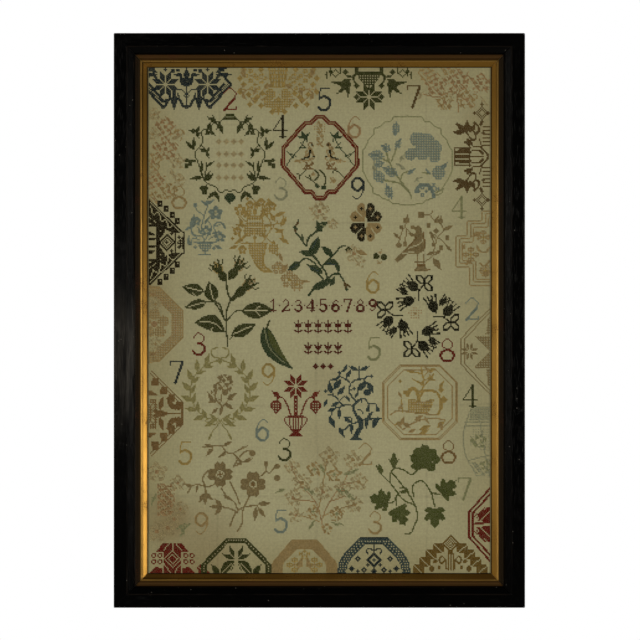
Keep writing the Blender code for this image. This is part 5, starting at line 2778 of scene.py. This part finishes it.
@dataclass(frozen=True)
class Lamp:
    """A soft rectangular light."""

    name: str
    place: Colour
    aim: Colour
    width: float
    height: float
    power: float
    colour: Colour = (255.0, 250.0, 240.0)

    def build(self) -> None:
        """Hang the light and turn it to its aim."""
        light = bpy.data.lights.new(self.name, "AREA")
        light.shape = "RECTANGLE"
        light.size = self.width
        light.size_y = self.height
        light.energy = self.power
        light.color = linear(self.colour)[:3]
        lamp = bpy.data.objects.new(self.name, light)
        lamp.location = self.place
        way = np.subtract(self.aim, self.place)
        lamp.rotation_euler = (
            math.atan2(math.hypot(way[0], way[1]), -way[2]), 0.0, math.atan2(-way[0], way[1]),
        )
        bpy.context.scene.collection.objects.link(lamp)


@dataclass(frozen=True)
class Studio:
    """A white room with a pale floor, soft side lights and a camera straight in front."""

    sizes: Sizes
    distance: float = 2.0
    view_width: float = 0.6144
    sensor: float = 36.0
    face: float = 0.020
    camera_across: float = 0.0006
    camera_up: float = 0.0004
    floor_gap: float = 0.25
    floor_radius: float = 1.05
    room_light: float = 0.02
    lamps: tuple[Lamp, ...] = (
        Lamp("left_lamp", (-1.35, -1.75, 0.15), (0.0, 0.0, 0.0), 0.5, 0.9, 21.0),
        Lamp("right_lamp", (1.35, -1.75, 0.05), (0.0, 0.0, 0.0), 0.5, 0.9, 21.0),
        Lamp("slip_lamp", (1.3, -0.12, -0.26), (-0.16, 0.0, -0.17), 0.35, 0.30, 4.0),
        Lamp("edge_lamp", (-1.3, -0.12, -0.05), (0.16, 0.0, 0.0), 0.35, 0.60, 1.2),
        Lamp("sheen_lamp", (-0.45, -2.0, -0.03), (-0.19, 0.0, -0.01), 0.16, 0.30, 0.6),
    )

    def camera(self) -> None:
        """Stand the camera at the photograph's angle."""
        lens = bpy.data.cameras.new("camera")
        lens.sensor_width = self.sensor
        lens.lens = self.sensor * self.distance / self.view_width
        camera = bpy.data.objects.new("camera", lens)
        camera.location = (self.camera_across, -self.face - self.distance, self.camera_up)
        camera.rotation_euler = (math.pi / 2.0, 0.0, 0.0)
        bpy.context.scene.collection.objects.link(camera)
        bpy.context.scene.camera = camera

    def floor(self) -> None:
        """Lay the pale floor well below the hanging frame."""
        height = -self.sizes.half_height - self.floor_gap
        bpy.ops.mesh.primitive_circle_add(
            vertices=96, radius=self.floor_radius, fill_type="NGON", location=(0.0, 0.0, height)
        )
        floor = bpy.context.object
        floor.name = "floor"
        paint = Paint("floor")
        clouds = paint.noise((3.0, 3.0, 3.0), 2.0)
        colour = paint.mix(clouds, linear((232, 231, 228)), linear((240, 239, 236)))
        floor.data.materials.append(paint.dress(Base_Color=colour, Roughness=0.9))

    def room(self) -> None:
        """Show the camera a white room, but light the frame only a little with it."""
        world = bpy.data.worlds.new("room")
        world.use_nodes = True
        tree = world.node_tree
        path = tree.nodes.new("ShaderNodeLightPath")
        strength = tree.nodes.new("ShaderNodeMapRange")
        strength.inputs["To Min"].default_value = self.room_light
        strength.inputs["To Max"].default_value = 1.0
        tree.links.new(path.outputs["Is Camera Ray"], strength.inputs["Value"])
        tree.links.new(strength.outputs[0], tree.nodes["Background"].inputs["Strength"])
        tree.nodes["Background"].inputs["Color"].default_value = (1.0, 1.0, 1.0, 1.0)
        bpy.context.scene.world = world

    def build(self) -> None:
        """Set up the camera, floor, room and lights."""
        self.camera()
        self.floor()
        self.room()
        for lamp in self.lamps:
            lamp.build()
        bpy.context.scene.view_settings.view_transform = "Standard"


def corners(box: tuple) -> list[list[float]]:
    """Turn a box into plain lists of numbers."""
    return [[float(value) for value in corner] for corner in box]


def main() -> None:
    """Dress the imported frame, make the cloth and its stitches, and set up the studio."""
    logging.basicConfig(level=logging.INFO, format="%(name)s: %(message)s")
    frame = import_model()
    sizes = Sizes.from_frame()
    Studio(sizes).build()
    FrameWork(sizes, frame["nodes"]).dress()
    ClothWork(sizes).build()


if __name__ == "__main__":
    main()
